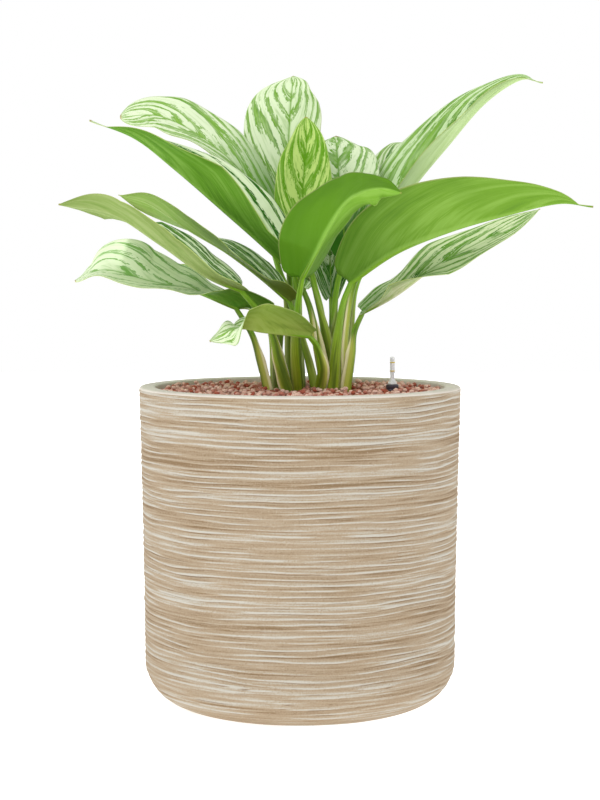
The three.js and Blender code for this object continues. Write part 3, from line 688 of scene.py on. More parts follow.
def add_stalk(bm, leaf):
    def spot(along, across):
        return stalk_surface(leaf, along, across) * MM, (along, (across + 1) / 2)

    made = mapped_grid(bm, STALK_LENGTHWISE, STALK_ROUND, spot, 3)
    bmesh.ops.remove_doubles(bm, verts=made, dist=0.00002)
    ends = [edge for edge in bm.edges if edge.is_boundary]
    caps = bmesh.ops.holes_fill(bm, edges=ends)["faces"]
    for face in caps:
        face.material_index = 3
    bmesh.ops.recalc_face_normals(bm, faces=bm.faces[:])


print("the sheath ends at", SHEATH_TOP, "of the stalk's way up from the granules")

# %% [markdown]
# ## The striped upper side
# The stripes follow the side veins: they leave the midrib at a low angle and sweep towards the
# tip. Pale and green bands take turns, one edge of a band is clean and the other is frayed along
# the veins, and some green bands are nearly black-green. A painted picture would do for one
# leaf; a rule gives every leaf its own pattern. The rule reads the leaf's own map, turns it into
# a distance along the veins, and cuts bands out of a wave that several grains disturb.

# %% Places along the veins
def vein_place(tree, place, seed):
    """From a leaf's map: how far along, how far along the slanted veins, q to the margin, and a depth"""
    along, across = split(tree, place)[:2]
    side = swing(tree, across, 2)
    q = maths(tree, "ABSOLUTE", side)
    sweep = times(tree, maths(tree, "POWER", q, VEIN_POWER), VEIN_SWEEP)
    slant = plus(tree, times(tree, q, VEIN_START), sweep)
    other_half = times(tree, maths(tree, "GREATER_THAN", side, 0.0), 5.3)
    return along, minus(tree, along, slant), q, plus(tree, seed, other_half)


def veined(tree, w, q, depth, fine_w, fine_q, detail=2.0, roughness=0.5):
    """A grain stretched along the veins"""
    place = point(tree, times(tree, w, fine_w), times(tree, q, fine_q), depth)
    return grain(tree, place, 1.0, detail, roughness)


print("a vein that reaches the margin has run", round(vein_slant(1), 2), "of the blade forward")

# %% The stripes as a shader group
def build_striped():
    numbers = ["Seed", "Bands", "Pale share", "Dark share", "Dark base"]
    tree, given, out = group("striped_upper_side", numbers, ["Pale", "Mid", "Dark"], ["Color", "Height"])
    pale_green, mid_green, dark_green = given["Pale"], given["Mid"], given["Dark"]
    along, w, q, depth = vein_place(tree, given["Place"], given["Seed"])
    warp = swing(tree, veined(tree, w, q, depth, 3.2, 1.1), 2.6)
    wave = maths(tree, "FRACT", plus(tree, times(tree, w, given["Bands"]), warp))
    peak = minus(tree, 1.0, maths(tree, "ABSOLUTE", swing(tree, wave, 2)))
    wobble = swing(tree, veined(tree, w, q, depth, 20, 5), 1.5)
    fray = swing(tree, veined(tree, w, q, depth, 62, 26, 2.0, 0.6), 1.5)
    frayed_side = times(tree, fray, step(tree, wave, 0.35, 0.6, 0.35, 1.1))
    level = plus(tree, plus(tree, peak, wobble), frayed_side)
    over = minus(tree, level, minus(tree, 1.0, given["Pale share"]))
    pale = step(tree, over, -0.06, 0.06)
    hem = times(tree, step(tree, over, -0.6, -0.2), step(tree, over, -0.12, -0.02, 1, 0))
    patches = veined(tree, w, q, plus(tree, depth, 31), 5, 1.6)
    dark_here = step(tree, plus(tree, patches, given["Dark share"]), 0.88, 1.1)
    dark = times(tree, dark_here, scaled(tree, hem, 0.6, 0.4), clamp=True)
    threads = step(tree, veined(tree, w, q, plus(tree, depth, 17), 46, 3.5), 0.6, 0.67)
    soft = veined(tree, w, q, plus(tree, depth, 3), 24, 4)
    green = coats(tree, mid_green,
                  (step(tree, soft, 0.35, 0.7, 0, 0.35), pale_green),
                  (times(tree, hem, 0.3), dark_green),
                  (dark, dark_green),
                  (times(tree, threads, step(tree, q, 0.75, 0.97, 0.75, 0.1)), pale_green))
    face = coats(tree, green,
                 (pale, blend(tree, step(tree, soft, 0.5, 0.75, 0, 0.4), pale_green, mid_green)),
                 # painted shade: the upper side turns dark green towards the blade's base, deep in the plant
                 (step(tree, along, 0.05, 0.5, given["Dark base"], 0), dark_green),
                 (step(tree, q, 0.02, 0.07, 0.35, 0), mid_green),
                 (step(tree, q, 0.01, 0.022, 0.75, 0), blend(tree, 0.35, mid_green, dark_green)),
                 (step(tree, q, 0.975, 0.995, 0, 0.7), pale_green),
                 (step(tree, along, 0.985, 0.997, 0, 0.7), colour(176, 142, 84)))
    tree.links.new(face, out["Color"])
    tree.links.new(scaled(tree, fray, 0.35, times(tree, pale, -0.2)), out["Height"])
    return tree


STRIPED = build_striped()
print("group:", STRIPED.name)

# %% [markdown]
# ## The plain underside and the stalk's skin
# The underside shows no stripes, only fine lines along the veins, soft lighter patches and a paler
# margin, with painted shade towards its base and its margin, and on one half of a folded blade. The
# stalk is streaked lengthwise, deeper green upwards, with broad bands of painted shade, and its two
# wings are nearly white and dry out to brown at their edge. Both are groups too, because every leaf has them.

# %% The underside and the stalk's skin
def build_underside():
    numbers, colours = ["Seed", "Lines", "Shaded plus half", "Base share"], ["Base", "Light", "Base tint"]
    tree, given, out = group("plain_underside", numbers, colours, ["Color", "Height"])
    along, w, q, depth = vein_place(tree, given["Place"], given["Seed"])
    across = split(tree, given["Place"])[1]
    lines = veined(tree, w, q, depth, 120, 6, 2.0, 0.6)
    broad = veined(tree, w, q, depth, 12, 2)
    mottle = veined(tree, along, across, depth, 3.5, 2.5, 3.0)
    far_from_tip = step(tree, along, 0.35, 0.7, 1, 0)
    shaded = times(tree, step(tree, q, 0.35, 1, 0.09, 0.45), step(tree, mottle, 0.36, 0.62, 1, 0.1))
    line_share = times(tree, step(tree, lines, 0.35, 0.75, 0, given["Lines"]), far_from_tip)
    face = coats(tree, given["Base"],
                 (line_share, given["Light"]),
                 (step(tree, broad, 0.42, 0.68, 0, 0.55), given["Light"]),
                 (step(tree, broad, 0.25, 0.42, 0.35, 0), colour(70, 110, 30)),
                 # painted shade: one half of a folded blade is darker, as it turns away from the light
                 (step(tree, across, 0.5, 0.56, 0, given["Shaded plus half"]), colour(82, 130, 12)),
                 # painted shade: a dark tint in patches towards the margin, and towards the blade's base
                 (shaded, given["Base tint"]),
                 (step(tree, along, 0, 0.45, given["Base share"], 0), given["Base tint"]),
                 (step(tree, q, 0.02, 0.07, 0.55, 0), given["Light"]),
                 (step(tree, q, 0.965, 0.995, 0, 0.35), colour(204, 200, 140)),
                 (step(tree, along, 0.985, 0.997, 0, 0.6), colour(160, 140, 80)))
    tree.links.new(face, out["Color"])
    fine = times(tree, times(tree, lines, 0.7), far_from_tip)
    tree.links.new(scaled(tree, broad, 0.3, fine), out["Height"])
    return tree


def build_stalk_skin():
    numbers, colours = ["Seed", "Wing share"], ["Upper", "Lower", "Wing"]
    tree, given, out = group("stalk_skin", numbers, colours, ["Color", "Height"])
    along, around = split(tree, given["Place"])[:2]
    across = maths(tree, "ABSOLUTE", swing(tree, around, 2))

    def near(middle, reach):
        """1 in the middle of a strip that runs up the stalk, and 0 at its edge"""
        away = maths(tree, "ABSOLUTE", minus(tree, across, middle))
        return minus(tree, 1.0, maths(tree, "DIVIDE", away, reach))

    streaks = veined(tree, along, around, given["Seed"], 5, 42, 3.0, 0.6)
    broad = veined(tree, along, around, given["Seed"], 1.5, 5)
    age = plus(tree, along, swing(tree, streaks, 0.3))
    sheath = step(tree, age, 0.4, 0.56, given["Wing share"], 0)
    near_wing = near(WING_PLACE, 0.17)
    dry = times(tree, step(tree, near_wing, 0.78, 0.95), step(tree, streaks, 0.42, 0.6, 0, 0.45))
    skin = coats(tree, given["Lower"],
                 (step(tree, age, 0.12, 0.62), given["Upper"]),
                 (step(tree, streaks, 0.5, 0.75, 0, 0.5), colour(190, 204, 90)),
                 (step(tree, streaks, 0.28, 0.46, 0.5, 0), colour(60, 80, 8)),
                 # painted shade: broad dark olive bands stand for the shaded side of the round stalk
                 (step(tree, broad, 0.4, 0.56, 0.7, 0), colour(64, 90, 6)),
                 (times(tree, step(tree, near(0.6, 0.45), 0, 0.9, 0, 0.75), sheath), colour(212, 212, 98)),
                 (times(tree, step(tree, near_wing, 0.05, 0.7), sheath), given["Wing"]),
                 (times(tree, dry, sheath), colour(168, 120, 76)))
    tree.links.new(skin, out["Color"])
    tree.links.new(streaks, out["Height"])
    return tree


UNDERSIDE, STALK_SKIN = build_underside(), build_stalk_skin()
print("groups:", UNDERSIDE.name, STALK_SKIN.name)

# %% [markdown]
# ## Each leaf's own look
# No two leaves of the plant are marked alike: the old low ones are nearly white between their
# dark bands, and the youngest is still yellow-green. A common look holds what most leaves share,
# and each leaf in view names only what differs. Leaves at the back get a seed of their own.

# %% Each leaf's own look
# Some settings of the looks are painted shade, not a leaf's own colour: the darkening towards the base on
# both sides, and the darker plus half of an underside.
COMMON_LOOK = dict(
    bands=5, pale_share=0.5, dark_share=0.4, dark_base=0,
    pale=(226, 240, 203), mid=(134, 180, 72), dark=(56, 112, 42),
    base=(98, 146, 40), light=(140, 182, 82), lines=0.5, shaded_plus_half=0, base_share=0.5, base_tint=(60, 104, 10),
    upper=(114, 162, 22), lower=(138, 164, 26), wing=(248, 240, 196), wing_share=0.15, sheath=1.5)

LEAF_LOOKS = {
    "leaf_left_low": dict(
        seed=41, pale_share=0.72, dark_share=0.25, mid=(138, 186, 98), dark=(70, 132, 56),
        base=(88, 146, 44), wing_share=1, sheath=3),
    "leaf_left_long": dict(
        seed=2, bands=6, pale_share=0.4, dark_share=0.7, dark=(44, 104, 30), base=(128, 152, 80),
        light=(158, 174, 114), lines=0.8, base_share=0.7, base_tint=(96, 116, 36), wing_share=1, sheath=4),
    "leaf_left_curled": dict(
        seed=3, bands=6, pale_share=0.35, dark_share=0.6, dark=(44, 104, 30), base=(130, 164, 72),
        light=(164, 186, 114), base_share=0.9, base_tint=(88, 104, 26)),
    "leaf_left_high": dict(
        seed=64, pale_share=0.72, dark_share=0.75, dark=(40, 104, 22), base=(92, 142, 34),
        wing_share=1, sheath=3.5),
    "leaf_upper_left": dict(seed=45, pale_share=0.55, dark_share=0.3, dark=(84, 140, 40), dark_base=0.7),
    "leaf_top": dict(seed=66, bands=5.5, pale_share=0.6, dark_share=0.3),
    "leaf_top_young": dict(
        seed=67, pale_share=0.4, dark_share=0.1,
        pale=(196, 222, 128), mid=(104, 160, 24), dark=(74, 136, 22)),
    "leaf_top_right": dict(
        seed=8, pale_share=0.45, dark_share=0.3, mid=(124, 174, 66), dark=(50, 108, 16), dark_base=1),
    "leaf_behind_right": dict(seed=29, bands=6),
    "leaf_upper_right": dict(
        seed=50, bands=6, pale_share=0.46, dark_share=0.35, pale=(208, 230, 182), base=(172, 198, 132),
        light=(192, 212, 158), wing_share=0.9, sheath=2),
    "leaf_front_broad": dict(
        seed=11, dark_share=0.5, base=(118, 166, 52), light=(140, 184, 80), lines=0.4, shaded_plus_half=0.85),
    "leaf_right_broad": dict(seed=12, base=(104, 146, 40), light=(138, 176, 78)),
    "leaf_right_low": dict(
        seed=73, bands=5.5, pale_share=0.55, dark_share=0.35, mid=(114, 168, 52), dark=(50, 112, 20),
        pale=(222, 234, 190), dark_base=0.4, base=(150, 176, 92), light=(214, 212, 180),
        wing_share=1, sheath=3.5),
    "leaf_front_small": dict(
        seed=14, bands=4.5, pale_share=0.6, dark_share=0.3, base=(142, 166, 68), light=(162, 184, 92),
        base_share=0.2, wing_share=1, sheath=2.5),
    "leaf_inner_young": dict(
        seed=15, pale_share=0.4, dark_share=0.7, mid=(104, 158, 40), dark=(44, 100, 12), dark_base=0.6),
}
SEED_SPREAD = 3.7
LEAF_FINISHES = (("upper", STRIPED, 0.55, 0.12, 0.5), ("under", UNDERSIDE, 0.6, 0.12, 0.5),
                 ("stalk", STALK_SKIN, 0.5, 0.35, 0.4))


def look_of(leaf):
    hidden = dict(seed=20 + LEAVES.index(leaf), bands=5.5)
    look = dict(COMMON_LOOK, **LEAF_LOOKS.get(leaf["name"], hidden))
    look["seed"] *= SEED_SPREAD
    return look


def leaf_finish(leaf, look):
    """The leaf's materials in the order of its mesh's slots: upper side, underside, margin, stalk"""
    made = []
    for side, skin_group, roughness, specular, strength in LEAF_FINISHES:
        material, tree, shader = finish(leaf["name"].replace("leaf_", "") + "_" + side, roughness, specular)
        skin = placed(tree, skin_group, dict(look, place=coordinates(tree, "UV")))
        surface(tree, shader, skin["Color"], skin["Height"], 0.0003, strength)
        made.append(material)
    return made[:2] + [MARGIN] + made[2:]


MARGIN, tree, shader = finish("leaf_margin", 0.5, 0.3)
margin_grain = grain(tree, coordinates(tree, "Object"), 60)
margin_green = blend(tree, margin_grain, colour(186, 196, 120), colour(150, 178, 84))
tree.links.new(margin_green, shader.inputs["Base Color"])
print(len(LEAF_LOOKS), "leaves with a look of their own")

# %% [markdown]
# ## Grow the leaves
# Each leaf takes its foot from the cane it grows on, its path from the first table and its look
# from the second. The frame along the midrib is asked for again and again, so each answer is kept.
# Stalk and blade go into one mesh, because on the plant they are one piece.

# %% Grow the leaves
def grow(leaf):
    name, degrees = leaf["slot"]
    x, y, ring = CANE_HEADS[name]
    outward = Vector((math.cos(math.radians(degrees)), math.sin(math.radians(degrees)), 0))
    for key in ("stalk", "rib", "up"):
        leaf[key] = [Vector(entry) for entry in leaf[key]]
    look = look_of(leaf)
    leaf["seed"] = LEAVES.index(leaf) * 4.1
    leaf["sheath"] = look["sheath"]
    known = {}

    def frames(s):
        if s not in known:
            known[s] = rib_frame(leaf, s)
        return known[s]

    leaf["frames"] = frames
    leaf["inward"] = -outward
    leaf["foot"] = Vector((x, y, STALK_FOOT_HEIGHT)) + outward * (ring - 0.5)
    surface_spot = Vector((x, y, GRANULE_TOP)) + outward * ring
    base, up = frames(0)[0], frames(0)[2]
    leaf["rise"] = [surface_spot] + leaf["stalk"] + [base - up * STALK_TOP_RADIUS * 0.95]
    bm = bmesh.new()
    add_stalk(bm, leaf)
    add_blade(bm, leaf)
    return new_piece(leaf["name"] + "_grown", bm, leaf_finish(leaf, look), leaf["name"])


leaf_pieces = [grow(leaf) for leaf in LEAVES]
print(len(leaf_pieces), "leaves,", sum(len(piece.data.polygons) for piece in leaf_pieces), "faces")
closed_and_outward(leaf_pieces[0])

# %% [markdown]
# ## The planter's shape
# The planter is a cast pot with a wall of fine, uneven ridges, a plain flat rim and a rounded
# lower edge. It could be a stack of rings, but real ridges wander, run together and fade. So a
# profile is spun round the axis, and its wall is then pushed in and out by a rule: a saw-tooth
# that bulges downwards to a crest and drops back below it, with its height and its pitch disturbed
# by noise. Each point keeps how near it is to a crest and to a groove, for the paint to read.

# %% The wall and its ridges
POT_HEIGHT, RIM_RADIUS, RIM_WIDTH, FOOT_RADIUS, FOOT_ROUNDING = 345, 175, 18, 170, 47
RIM_ROUNDING, INNER_ROUNDING, FLOOR_HEIGHT = 3, 2.5, 18
INNER_RADIUS = RIM_RADIUS - RIM_WIDTH
WALL_STEPS, POT_STEPS = 480, 168
RIDGE_PITCH, RIDGE_DEPTH, RIDGE_MIDDLE, RIDGE_TOP = 6.0, 0.9, 0.45, 0.78
CREST_PLACE, CREST_BREADTH, GROOVE_BREADTH = 0.76, 0.15, 0.12
BARE_TOP, BARE_FOOT = 4, 6
PLAIN_CREST = 0.3


def wall_radius(z):
    down = (POT_HEIGHT - z) / (POT_HEIGHT - FOOT_ROUNDING)
    return RIM_RADIUS - (RIM_RADIUS - FOOT_RADIUS) * (1 - (1 - down) ** 1.6)


def ridge_at(angle, z):
    """How far the wall stands out at this place, how much of a groove it is, and how much of a crest"""
    x, y = math.cos(angle), math.sin(angle)
    wander = noise.noise(Vector((x * 1.3, y * 1.3, z * 0.012))) * 4.0
    wander += noise.noise(Vector((x * 2.4 + 9, y * 2.4, z * 0.055))) * 2.6
    wander += noise.noise(Vector((x * 5, y * 5 + 4, z * 0.14))) * 0.6
    phase = (POT_HEIGHT - z + wander) / RIDGE_PITCH
    tooth = phase - math.floor(phase)
    rise = (tooth / RIDGE_TOP) ** 0.9 if tooth < RIDGE_TOP else ramp(1 - tooth, 0, 1 - RIDGE_TOP)
    groove = math.exp(-(min(tooth, 1 - tooth) / GROOVE_BREADTH) ** 2)
    crest = math.exp(-((tooth - CREST_PLACE) / CREST_BREADTH) ** 2)
    fade = 0.66 + 1.1 * noise.noise(Vector((x * 3.2 + 30, y * 3.2, math.floor(phase) * 3.7)))
    strong = min(max(fade, 0.12), 1.2)
    chips = noise.noise(Vector((x * 9, y * 9, z * 0.5))) * 0.12
    return max(0.0, rise * strong + chips * (0.4 + rise)), groove * strong, crest * strong


print("wall radius at rim and foot:", wall_radius(POT_HEIGHT), wall_radius(FOOT_ROUNDING))

# %% The profile that is spun
def pot_profile():
    """Out along the bottom, up the wall, over the rim, down the inside and back to the axis"""
    flat_foot, wall_top = FOOT_RADIUS - FOOT_ROUNDING, POT_HEIGHT - RIM_ROUNDING
    climb = [FOOT_ROUNDING + (wall_top - FOOT_ROUNDING) * k / WALL_STEPS for k in range(1, WALL_STEPS + 1)]
    profile = [(0, 0), (60, 0), (110, 0), (flat_foot, 0)]
    profile += arc(flat_foot, FOOT_ROUNDING, FOOT_ROUNDING, -90, 0, 40)[1:]
    profile += [(wall_radius(z), z) for z in climb]
    profile += arc(RIM_RADIUS - RIM_ROUNDING, wall_top, RIM_ROUNDING, 0, 90, 5)[1:]
    profile += [(INNER_RADIUS + RIM_WIDTH / 2, POT_HEIGHT)]
    profile += arc(INNER_RADIUS + INNER_ROUNDING, POT_HEIGHT - INNER_ROUNDING, INNER_ROUNDING, 90, 180, 4)
    profile += [(INNER_RADIUS, POT_HEIGHT - 12), (INNER_RADIUS - 1, 250), (INNER_RADIUS - 3, 52)]
    return profile + arc(INNER_RADIUS - 37, 52, 34, 0, -90, 8) + [(60, FLOOR_HEIGHT), (0, FLOOR_HEIGHT)]


print(len(pot_profile()), "points in the profile")

# %% The planter
pot_bm = bmesh.new()
spun(pot_bm, pot_profile(), POT_STEPS)
groove = pot_bm.verts.layers.float.new("groove")
crest = pot_bm.verts.layers.float.new("crest")
for vert in pot_bm.verts:
    radius, z = math.hypot(vert.co.x, vert.co.y) / MM, vert.co.z / MM
    near_wall = radius > wall_radius(max(z, FOOT_ROUNDING)) - FOOT_ROUNDING and radius > 120
    outside = vert.normal.x * vert.co.x + vert.normal.y * vert.co.y > 0 and z < POT_HEIGHT - BARE_TOP
    vert[crest] = PLAIN_CREST
    if near_wall and outside:
        ends = ramp(POT_HEIGHT - z, BARE_TOP - 3, BARE_TOP + 3) * ramp(z, BARE_FOOT, BARE_FOOT + 14)
        high, dip, top = ridge_at(math.atan2(vert.co.y, vert.co.x), z)
        vert[groove], vert[crest] = dip * ends, top * ends + PLAIN_CREST * (1 - ends)
        proud = high * ends + 0.75 * (1 - ends) - RIDGE_MIDDLE
        vert.co += vert.normal * (proud * RIDGE_DEPTH * MM * ends)
pot = new_piece("planter", pot_bm, [], "pot")
closed_and_outward(pot)

# %% [markdown]
# ## The planter's paint
# The real surface is cast stone-like clay with a sandy grain, brushed with a paler beige that
# stays on the ridges and leaves brown in the hollows. The stored crests and grooves drive that:
# brown below, a pale grey beige on the crests that is partly that brushing and partly a painted
# highlight, a dark line of painted shadow in each groove under a ridge, and streaks that run round
# the pot break it up. Reading the form is better than a fresh noise, because the paint then agrees with it.

# %% Sandy and streaked grain
def build_sandy():
    tree, given, out = group("sandy_grain", ["Size"], [], ["Grain", "Patches"])
    tree.links.new(grain(tree, given["Place"], given["Size"], 3.0, 0.65), out["Grain"])
    broad = times(tree, given["Size"], 0.02)
    tree.links.new(grain(tree, given["Place"], broad, 3.0, 0.55), out["Patches"])
    return tree


SANDY = build_sandy()


def sandy(tree, size):
    return placed(tree, SANDY, dict(place=coordinates(tree, "Object"), size=size))


def streaked(tree, upright, scale, detail):
    """A grain drawn out round the pot: a small step up changes it as much as a long way round"""
    x, y, z = split(tree, coordinates(tree, "Object"))
    place = point(tree, times(tree, x, 3.5), times(tree, y, 3.5), times(tree, z, upright))
    return grain(tree, place, scale, detail, 0.6)


print("group:", SANDY.name)

# %% The planter's paint
pot_paint, tree, shader = finish("brushed_clay", 0.85, 0.2)
sand = sandy(tree, 700)
# paler towards each crest: partly the real brushed paint, partly a painted highlight; the streaks and grain
# are real
brush_and_highlight = scaled(tree, stored(tree, "crest"), 0.95, -0.3)
strokes, fine_strokes = streaked(tree, 120, 1.0, 4.0), streaked(tree, 150, 3.4, 3.0)
for mark, breadth in ((strokes, 2.2), (fine_strokes, 2.2), (sand["Grain"], 0.8)):
    brush_and_highlight = plus(tree, brush_and_highlight, swing(tree, mark, breadth))
clay = coats(tree, colour(132, 109, 81),
             (step(tree, brush_and_highlight, -1.0, -0.2), colour(165, 147, 123)),
             (step(tree, brush_and_highlight, -0.3, 0.55), colour(188, 184, 173)),
             # painted shadow: a dark line in each groove, under the ridge above it
             (step(tree, stored(tree, "groove"), 0.35, 1, 0, 0.7), colour(110, 86, 60)),
             (step(tree, sand["Grain"], 0.25, 0.44, 0.4, 0), colour(116, 90, 64)),
             (step(tree, sand["Grain"], 0.6, 0.78, 0, 0.4), colour(206, 199, 185)))
surface(tree, shader, clay, sand["Grain"], 0.0012, 0.5)

plain_clay, tree, shader = finish("plain_clay", 0.8, 0.2)
sand = sandy(tree, 900)
plain = coats(tree, colour(213, 205, 195),
              (step(tree, sand["Patches"], 0.35, 0.65), colour(222, 215, 204)),
              (step(tree, sand["Grain"], 0.58, 0.75, 0, 0.3), colour(196, 188, 170)))
surface(tree, shader, plain, sand["Grain"], 0.0006, 0.4)

pot.data.materials.append(pot_paint)
pot.data.materials.append(plain_clay)
for face in pot.data.polygons:
    centre = face.center / MM
    rim_or_inside = centre.z > POT_HEIGHT - 2 or math.hypot(centre.x, centre.y) < INNER_RADIUS + 1
    face.material_index = 1 if rim_or_inside and centre.z > FLOOR_HEIGHT - 1 else 0
print("planter painted")

# %% [markdown]
# ## The clay granules
# Fired clay granules are round-edged pebbles of 5 to 8 mm. About four and a half thousand lie at
# the top, where they show, on a bed that fills the pot below them. Real instances would be lighter,
# but the export keeps only real meshes, so a dozen rough pebbles are made from small balls and
# copied, each turned, squeezed and given its own colour at random, darker the deeper it lies, as
# painted shade. They are drawn a little smaller than real ones, so that they lie close, and they
# leave room for the stalks and the gauge.

# %% A dozen rough pebbles
def rough_pebble(number):
    bm = bmesh.new()
    bmesh.ops.create_icosphere(bm, subdivisions=2, radius=1.0)
    for vert in bm.verts:
        lump = noise.noise(vert.co * 1.1 + Vector((number * 7, 0, 0))) * 0.3
        vert.co *= 1 + lump + noise.noise(vert.co * 3.1 + Vector((0, number * 5, 0))) * 0.12
    mesh = bpy.data.meshes.new("pebble")
    bm.to_mesh(mesh)
    bm.free()
    mesh.attributes.new("tone_and_depth_shade", "FLOAT", "POINT")
    return mesh


pebble_kinds = [rough_pebble(number) for number in range(12)]
print(len(pebble_kinds), "pebbles of", len(pebble_kinds[0].polygons), "faces")

# %% Where the pebbles lie
random.seed(7)
PEBBLE_SPACING, PEBBLE_RADIUS = 5.2, 2.6
PEBBLE_LAYERS = ((334.5, 0.9), (338.2, 0.45), (341.4, 0.15))
SIDE_JITTER, HEIGHT_JITTER = 1.6, 1.3
GAUGE_X, GAUGE_Y, GAUGE_CLEARANCE, STALK_CLEARANCE = 101, 5, 6.6, 5.4


def clear_spots():
    """Places that a pebble leaves free: (x, y, how far)"""
    feet = [leaf["rise"][0] for leaf in LEAVES]
    return [(GAUGE_X, GAUGE_Y, GAUGE_CLEARANCE)] + [(foot.x, foot.y, STALK_CLEARANCE) for foot in feet]


def pebble_places():
    """Layers of pebbles, each thinner than the one below, as loose granules lie"""
    places = []
    free = clear_spots()
    edge = INNER_RADIUS - 0.3
    for height, share in PEBBLE_LAYERS:
        for row in range(-35, 36):
            for column in range(-31, 32):
                x = (column + 0.5 * (row % 2)) * PEBBLE_SPACING + random.uniform(-SIDE_JITTER, SIDE_JITTER)
                y = row * PEBBLE_SPACING * 0.87 + random.uniform(-SIDE_JITTER, SIDE_JITTER)
                size = PEBBLE_RADIUS * random.uniform(0.8, 1.18)
                chosen = random.random() < share and math.hypot(x, y) + size < edge
                if chosen and all(math.hypot(x - a, y - b) > far + size * 0.5 for a, b, far in free):
                    z = height + random.uniform(-HEIGHT_JITTER, HEIGHT_JITTER)
                    places.append((x, y, z, size))
    return places


places = pebble_places()
print(len(places), "places")

# %% Pour the pebbles
def pour(name, places):
    bm = bmesh.new()
    for x, y, z, size in places:
        mesh = random.choice(pebble_kinds).copy()
        # painted shade: the random colour is darker the deeper a pebble lies, where little light gets down
        tone_and_depth_shade = random.random() * (0.45 + 0.55 * ramp(z, 333.5, 341))
        mesh.attributes["tone_and_depth_shade"].data.foreach_set("value", [tone_and_depth_shade] * len(mesh.vertices))
        angle = random.uniform(0, 6.28)
        turn = Matrix.Rotation(angle, 4, (random.uniform(-1, 1), random.uniform(-1, 1), 1))
        breadth, height = random.uniform(0.78, 1), random.uniform(0.7, 0.9)
        squeeze = Matrix.Diagonal((size, size * breadth, size * height, 1))
        mesh.transform(Matrix.Scale(MM, 4) @ Matrix.Translation((x, y, z)) @ squeeze @ turn)
        bm.from_mesh(mesh)
        bpy.data.meshes.remove(mesh)
    return new_piece(name, bm, [fired_clay], "granules")


fired_clay, tree, shader = finish("fired_clay", 0.7, 0.12)
sand = sandy(tree, 1500)
clay = coats(tree, colour(178, 86, 64),
             (step(tree, stored(tree, "tone_and_depth_shade"), 0, 0.85), colour(255, 218, 200)),
             (step(tree, sand["Grain"], 0.35, 0.7, 0.35, 0), colour(150, 90, 72)))
surface(tree, shader, clay, sand["Grain"], 0.0008, 0.7)

left = pour("pebbles_left", [place for place in places if place[0] < 0])
right = pour("pebbles_right", [place for place in places if place[0] >= 0])
print(len(left.data.polygons) + len(right.data.polygons), "faces in all the pebbles")

# %% [markdown]
# ## The bed below the pebbles
# Deeper granules are never seen one by one, so they are one turned body with a slightly wavy top.
# It is painted a dark brown, as little light gets down between the pebbles.

# %% The bed below the pebbles
BED_HEIGHT, BED_RADIUS = 330, 156.6

bed_paint, tree, shader = finish("granule_bed", 0.95, 0.1)
sand = sandy(tree, 300)
bed_colour = blend(tree, sand["Grain"], colour(34, 18, 14), colour(78, 46, 36))
surface(tree, shader, bed_colour, sand["Grain"], 0.003, 1.0)

bed_profile = [(0, 18.5), (119, 18.5)] + arc(119.5, 52.5, 33.5, -90, 0, 8)[1:]
bed_profile += [(BED_RADIUS - 1, 250), (BED_RADIUS, BED_HEIGHT)]
bed_profile += [(BED_RADIUS * (1 - k / 40), BED_HEIGHT + 1.2 * math.sin(k * 2.4)) for k in range(1, 40)]
bed_bm = bmesh.new()
spun(bed_bm, bed_profile + [(0, BED_HEIGHT)], 96)
bed = new_piece("granule_bed", bed_bm, [bed_paint], "granules")
closed_and_outward(bed)

# %% [markdown]
# ## The canes
# Old leaves leave ring scars on the short canes, and dry brown skin between them. Only their
# heads come up to the pebbles, so the plain solids stay, with a ringed bark of their own.

# %% The canes' bark
bark, tree, shader = finish("cane_bark", 0.8, 0.2)
height = split(tree, coordinates(tree, "Object"))[2]
rings = maths(tree, "SINE", times(tree, height, 900))
sand = sandy(tree, 500)
skin = coats(tree, colour(128, 120, 74),
             (step(tree, rings, 0.2, 0.9), colour(150, 122, 84)),
             (step(tree, sand["Grain"], 0.4, 0.7, 0, 0.5), colour(96, 78, 50)))
surface(tree, shader, skin, scaled(tree, rings, 0.4, sand["Grain"]), 0.001, 0.6)
for name in ("stem_left", "stem_right", "stem_back", "stem_back_right"):
    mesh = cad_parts[name].data
    mesh.materials.clear()
    mesh.materials.append(bark)
print("canes in bark")

# %% [markdown]
# ## The water gauge
# A water gauge is a slotted tube in the granules with a float inside. The float's thin rod rises
# into a clear sight tube, and its red tip shows the water's height between two marks. Every part
# is turned, so each is a short profile spun round the gauge's own axis.

# %% The gauge's plastics
def moulded(name, first, second, roughness):
    material, tree, shader = finish(name, roughness, 0.5)
    sand = sandy(tree, 2200)
    skin = blend(tree, sand["Patches"], colour(*first), colour(*second))
    surface(tree, shader, skin, sand["Grain"], 0.0001, 0.3)
    return material


collar_plastic = moulded("collar_plastic", (52, 42, 54), (70, 58, 70), 0.35)
tube_plastic = moulded("tube_plastic", (70, 66, 68), (90, 84, 86), 0.5)
red_plastic = moulded("red_plastic", (150, 26, 30), (176, 44, 30), 0.4)
yellow_plastic = moulded("yellow_plastic", (226, 196, 60), (236, 210, 90), 0.4)

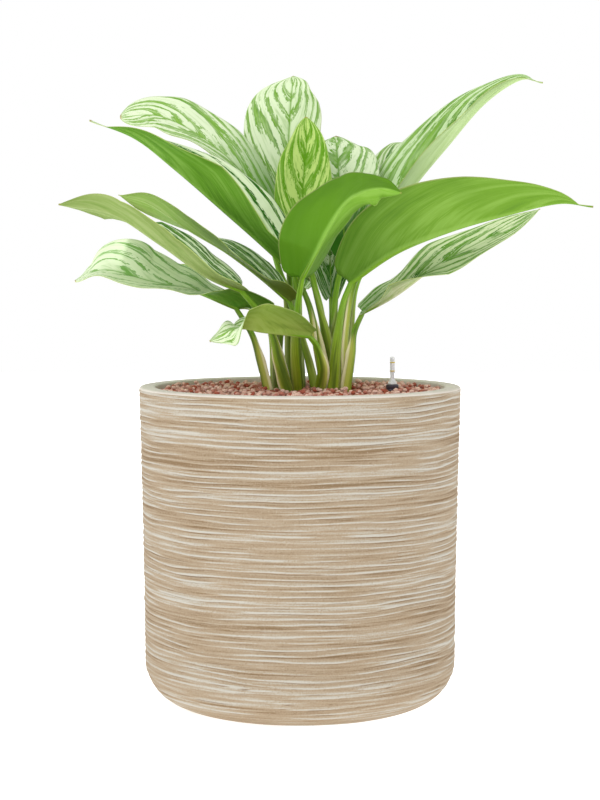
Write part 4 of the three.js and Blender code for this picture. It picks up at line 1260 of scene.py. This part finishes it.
clear, tree, shader = finish("clear_plastic", 0.12, 0.5)
shader.inputs["Base Color"].default_value = colour(250, 250, 252)
shader.inputs["Transmission Weight"].default_value = 0.2
shader.inputs["IOR"].default_value = 1.35
scuffs = grain(tree, coordinates(tree, "Object"), 500, 3)
tree.links.new(step(tree, scuffs, 0.3, 0.8, 0.05, 0.16), shader.inputs["Roughness"])
print("five plastics")

# %% The gauge's parts
def turned(name, profile, steps, material, node):
    bm = bmesh.new()
    spun(bm, profile, steps)
    bmesh.ops.translate(bm, verts=bm.verts, vec=(GAUGE_X * MM, GAUGE_Y * MM, 0))
    return new_piece(name, bm, [material], node)


collar_profile = [(2.0, 337.8), (6.4, 337.8)] + arc(6.4, 338.6, 0.6, -90, 0, 3)
collar_profile += [(7, 341), (6.7, 341.3), (7, 341.6), (7, 343.6)] + arc(5.6, 344.6, 1.4, 0, 90, 5)
collar_profile += [(2.6, 346), (2.6, 350.2), (2.0, 350.2), (2.0, 337.8)]
collar = turned("gauge_ring", collar_profile, 48, collar_plastic, "gauge_collar")
tube_profile = [(0, 374.6), (1.2, 374.2), (1.5, 373.4), (1.5, 346.1), (5.2, 346.1), (5.0, 347.2)]
tube_profile += [(3.4, 350.2), (2.6, 351.4), (2.5, 353), (2.5, 374.8)]
tube_profile += arc(1.3, 374.8, 1.2, 0, 90, 5)[1:] + [(0.4, 376), (0, 376)]
sight = turned("gauge_clear_tube", tube_profile, 40, clear, "gauge_sight_tube")
for number, height in enumerate((360.6, 370)):
    low, high = height - 0.5, height + 0.5
    mark_profile = [(2.52, low), (2.75, low), (2.75, high), (2.52, high), (2.52, low)]
    turned("gauge_mark_%d" % number, mark_profile, 40, yellow_plastic, "gauge_sight_tube")
rod_profile = [(0, 64), (4.2, 64), (4.2, 98), (0.9, 98), (0.9, 349.6), (0, 349.6)]
turned("gauge_rod", rod_profile, 24, tube_plastic, "gauge_float")
tip_profile = [(0, 349.6), (1.1, 349.6), (1.1, 352.2)] + arc(0.3, 352.2, 0.8, 0, 90, 4)[1:] + [(0, 353)]
turned("gauge_red_tip", tip_profile, 24, red_plastic, "gauge_float")
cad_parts["gauge_housing"].data.materials.clear()
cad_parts["gauge_housing"].data.materials.append(tube_plastic)
closed_and_outward(collar)
closed_and_outward(sight)
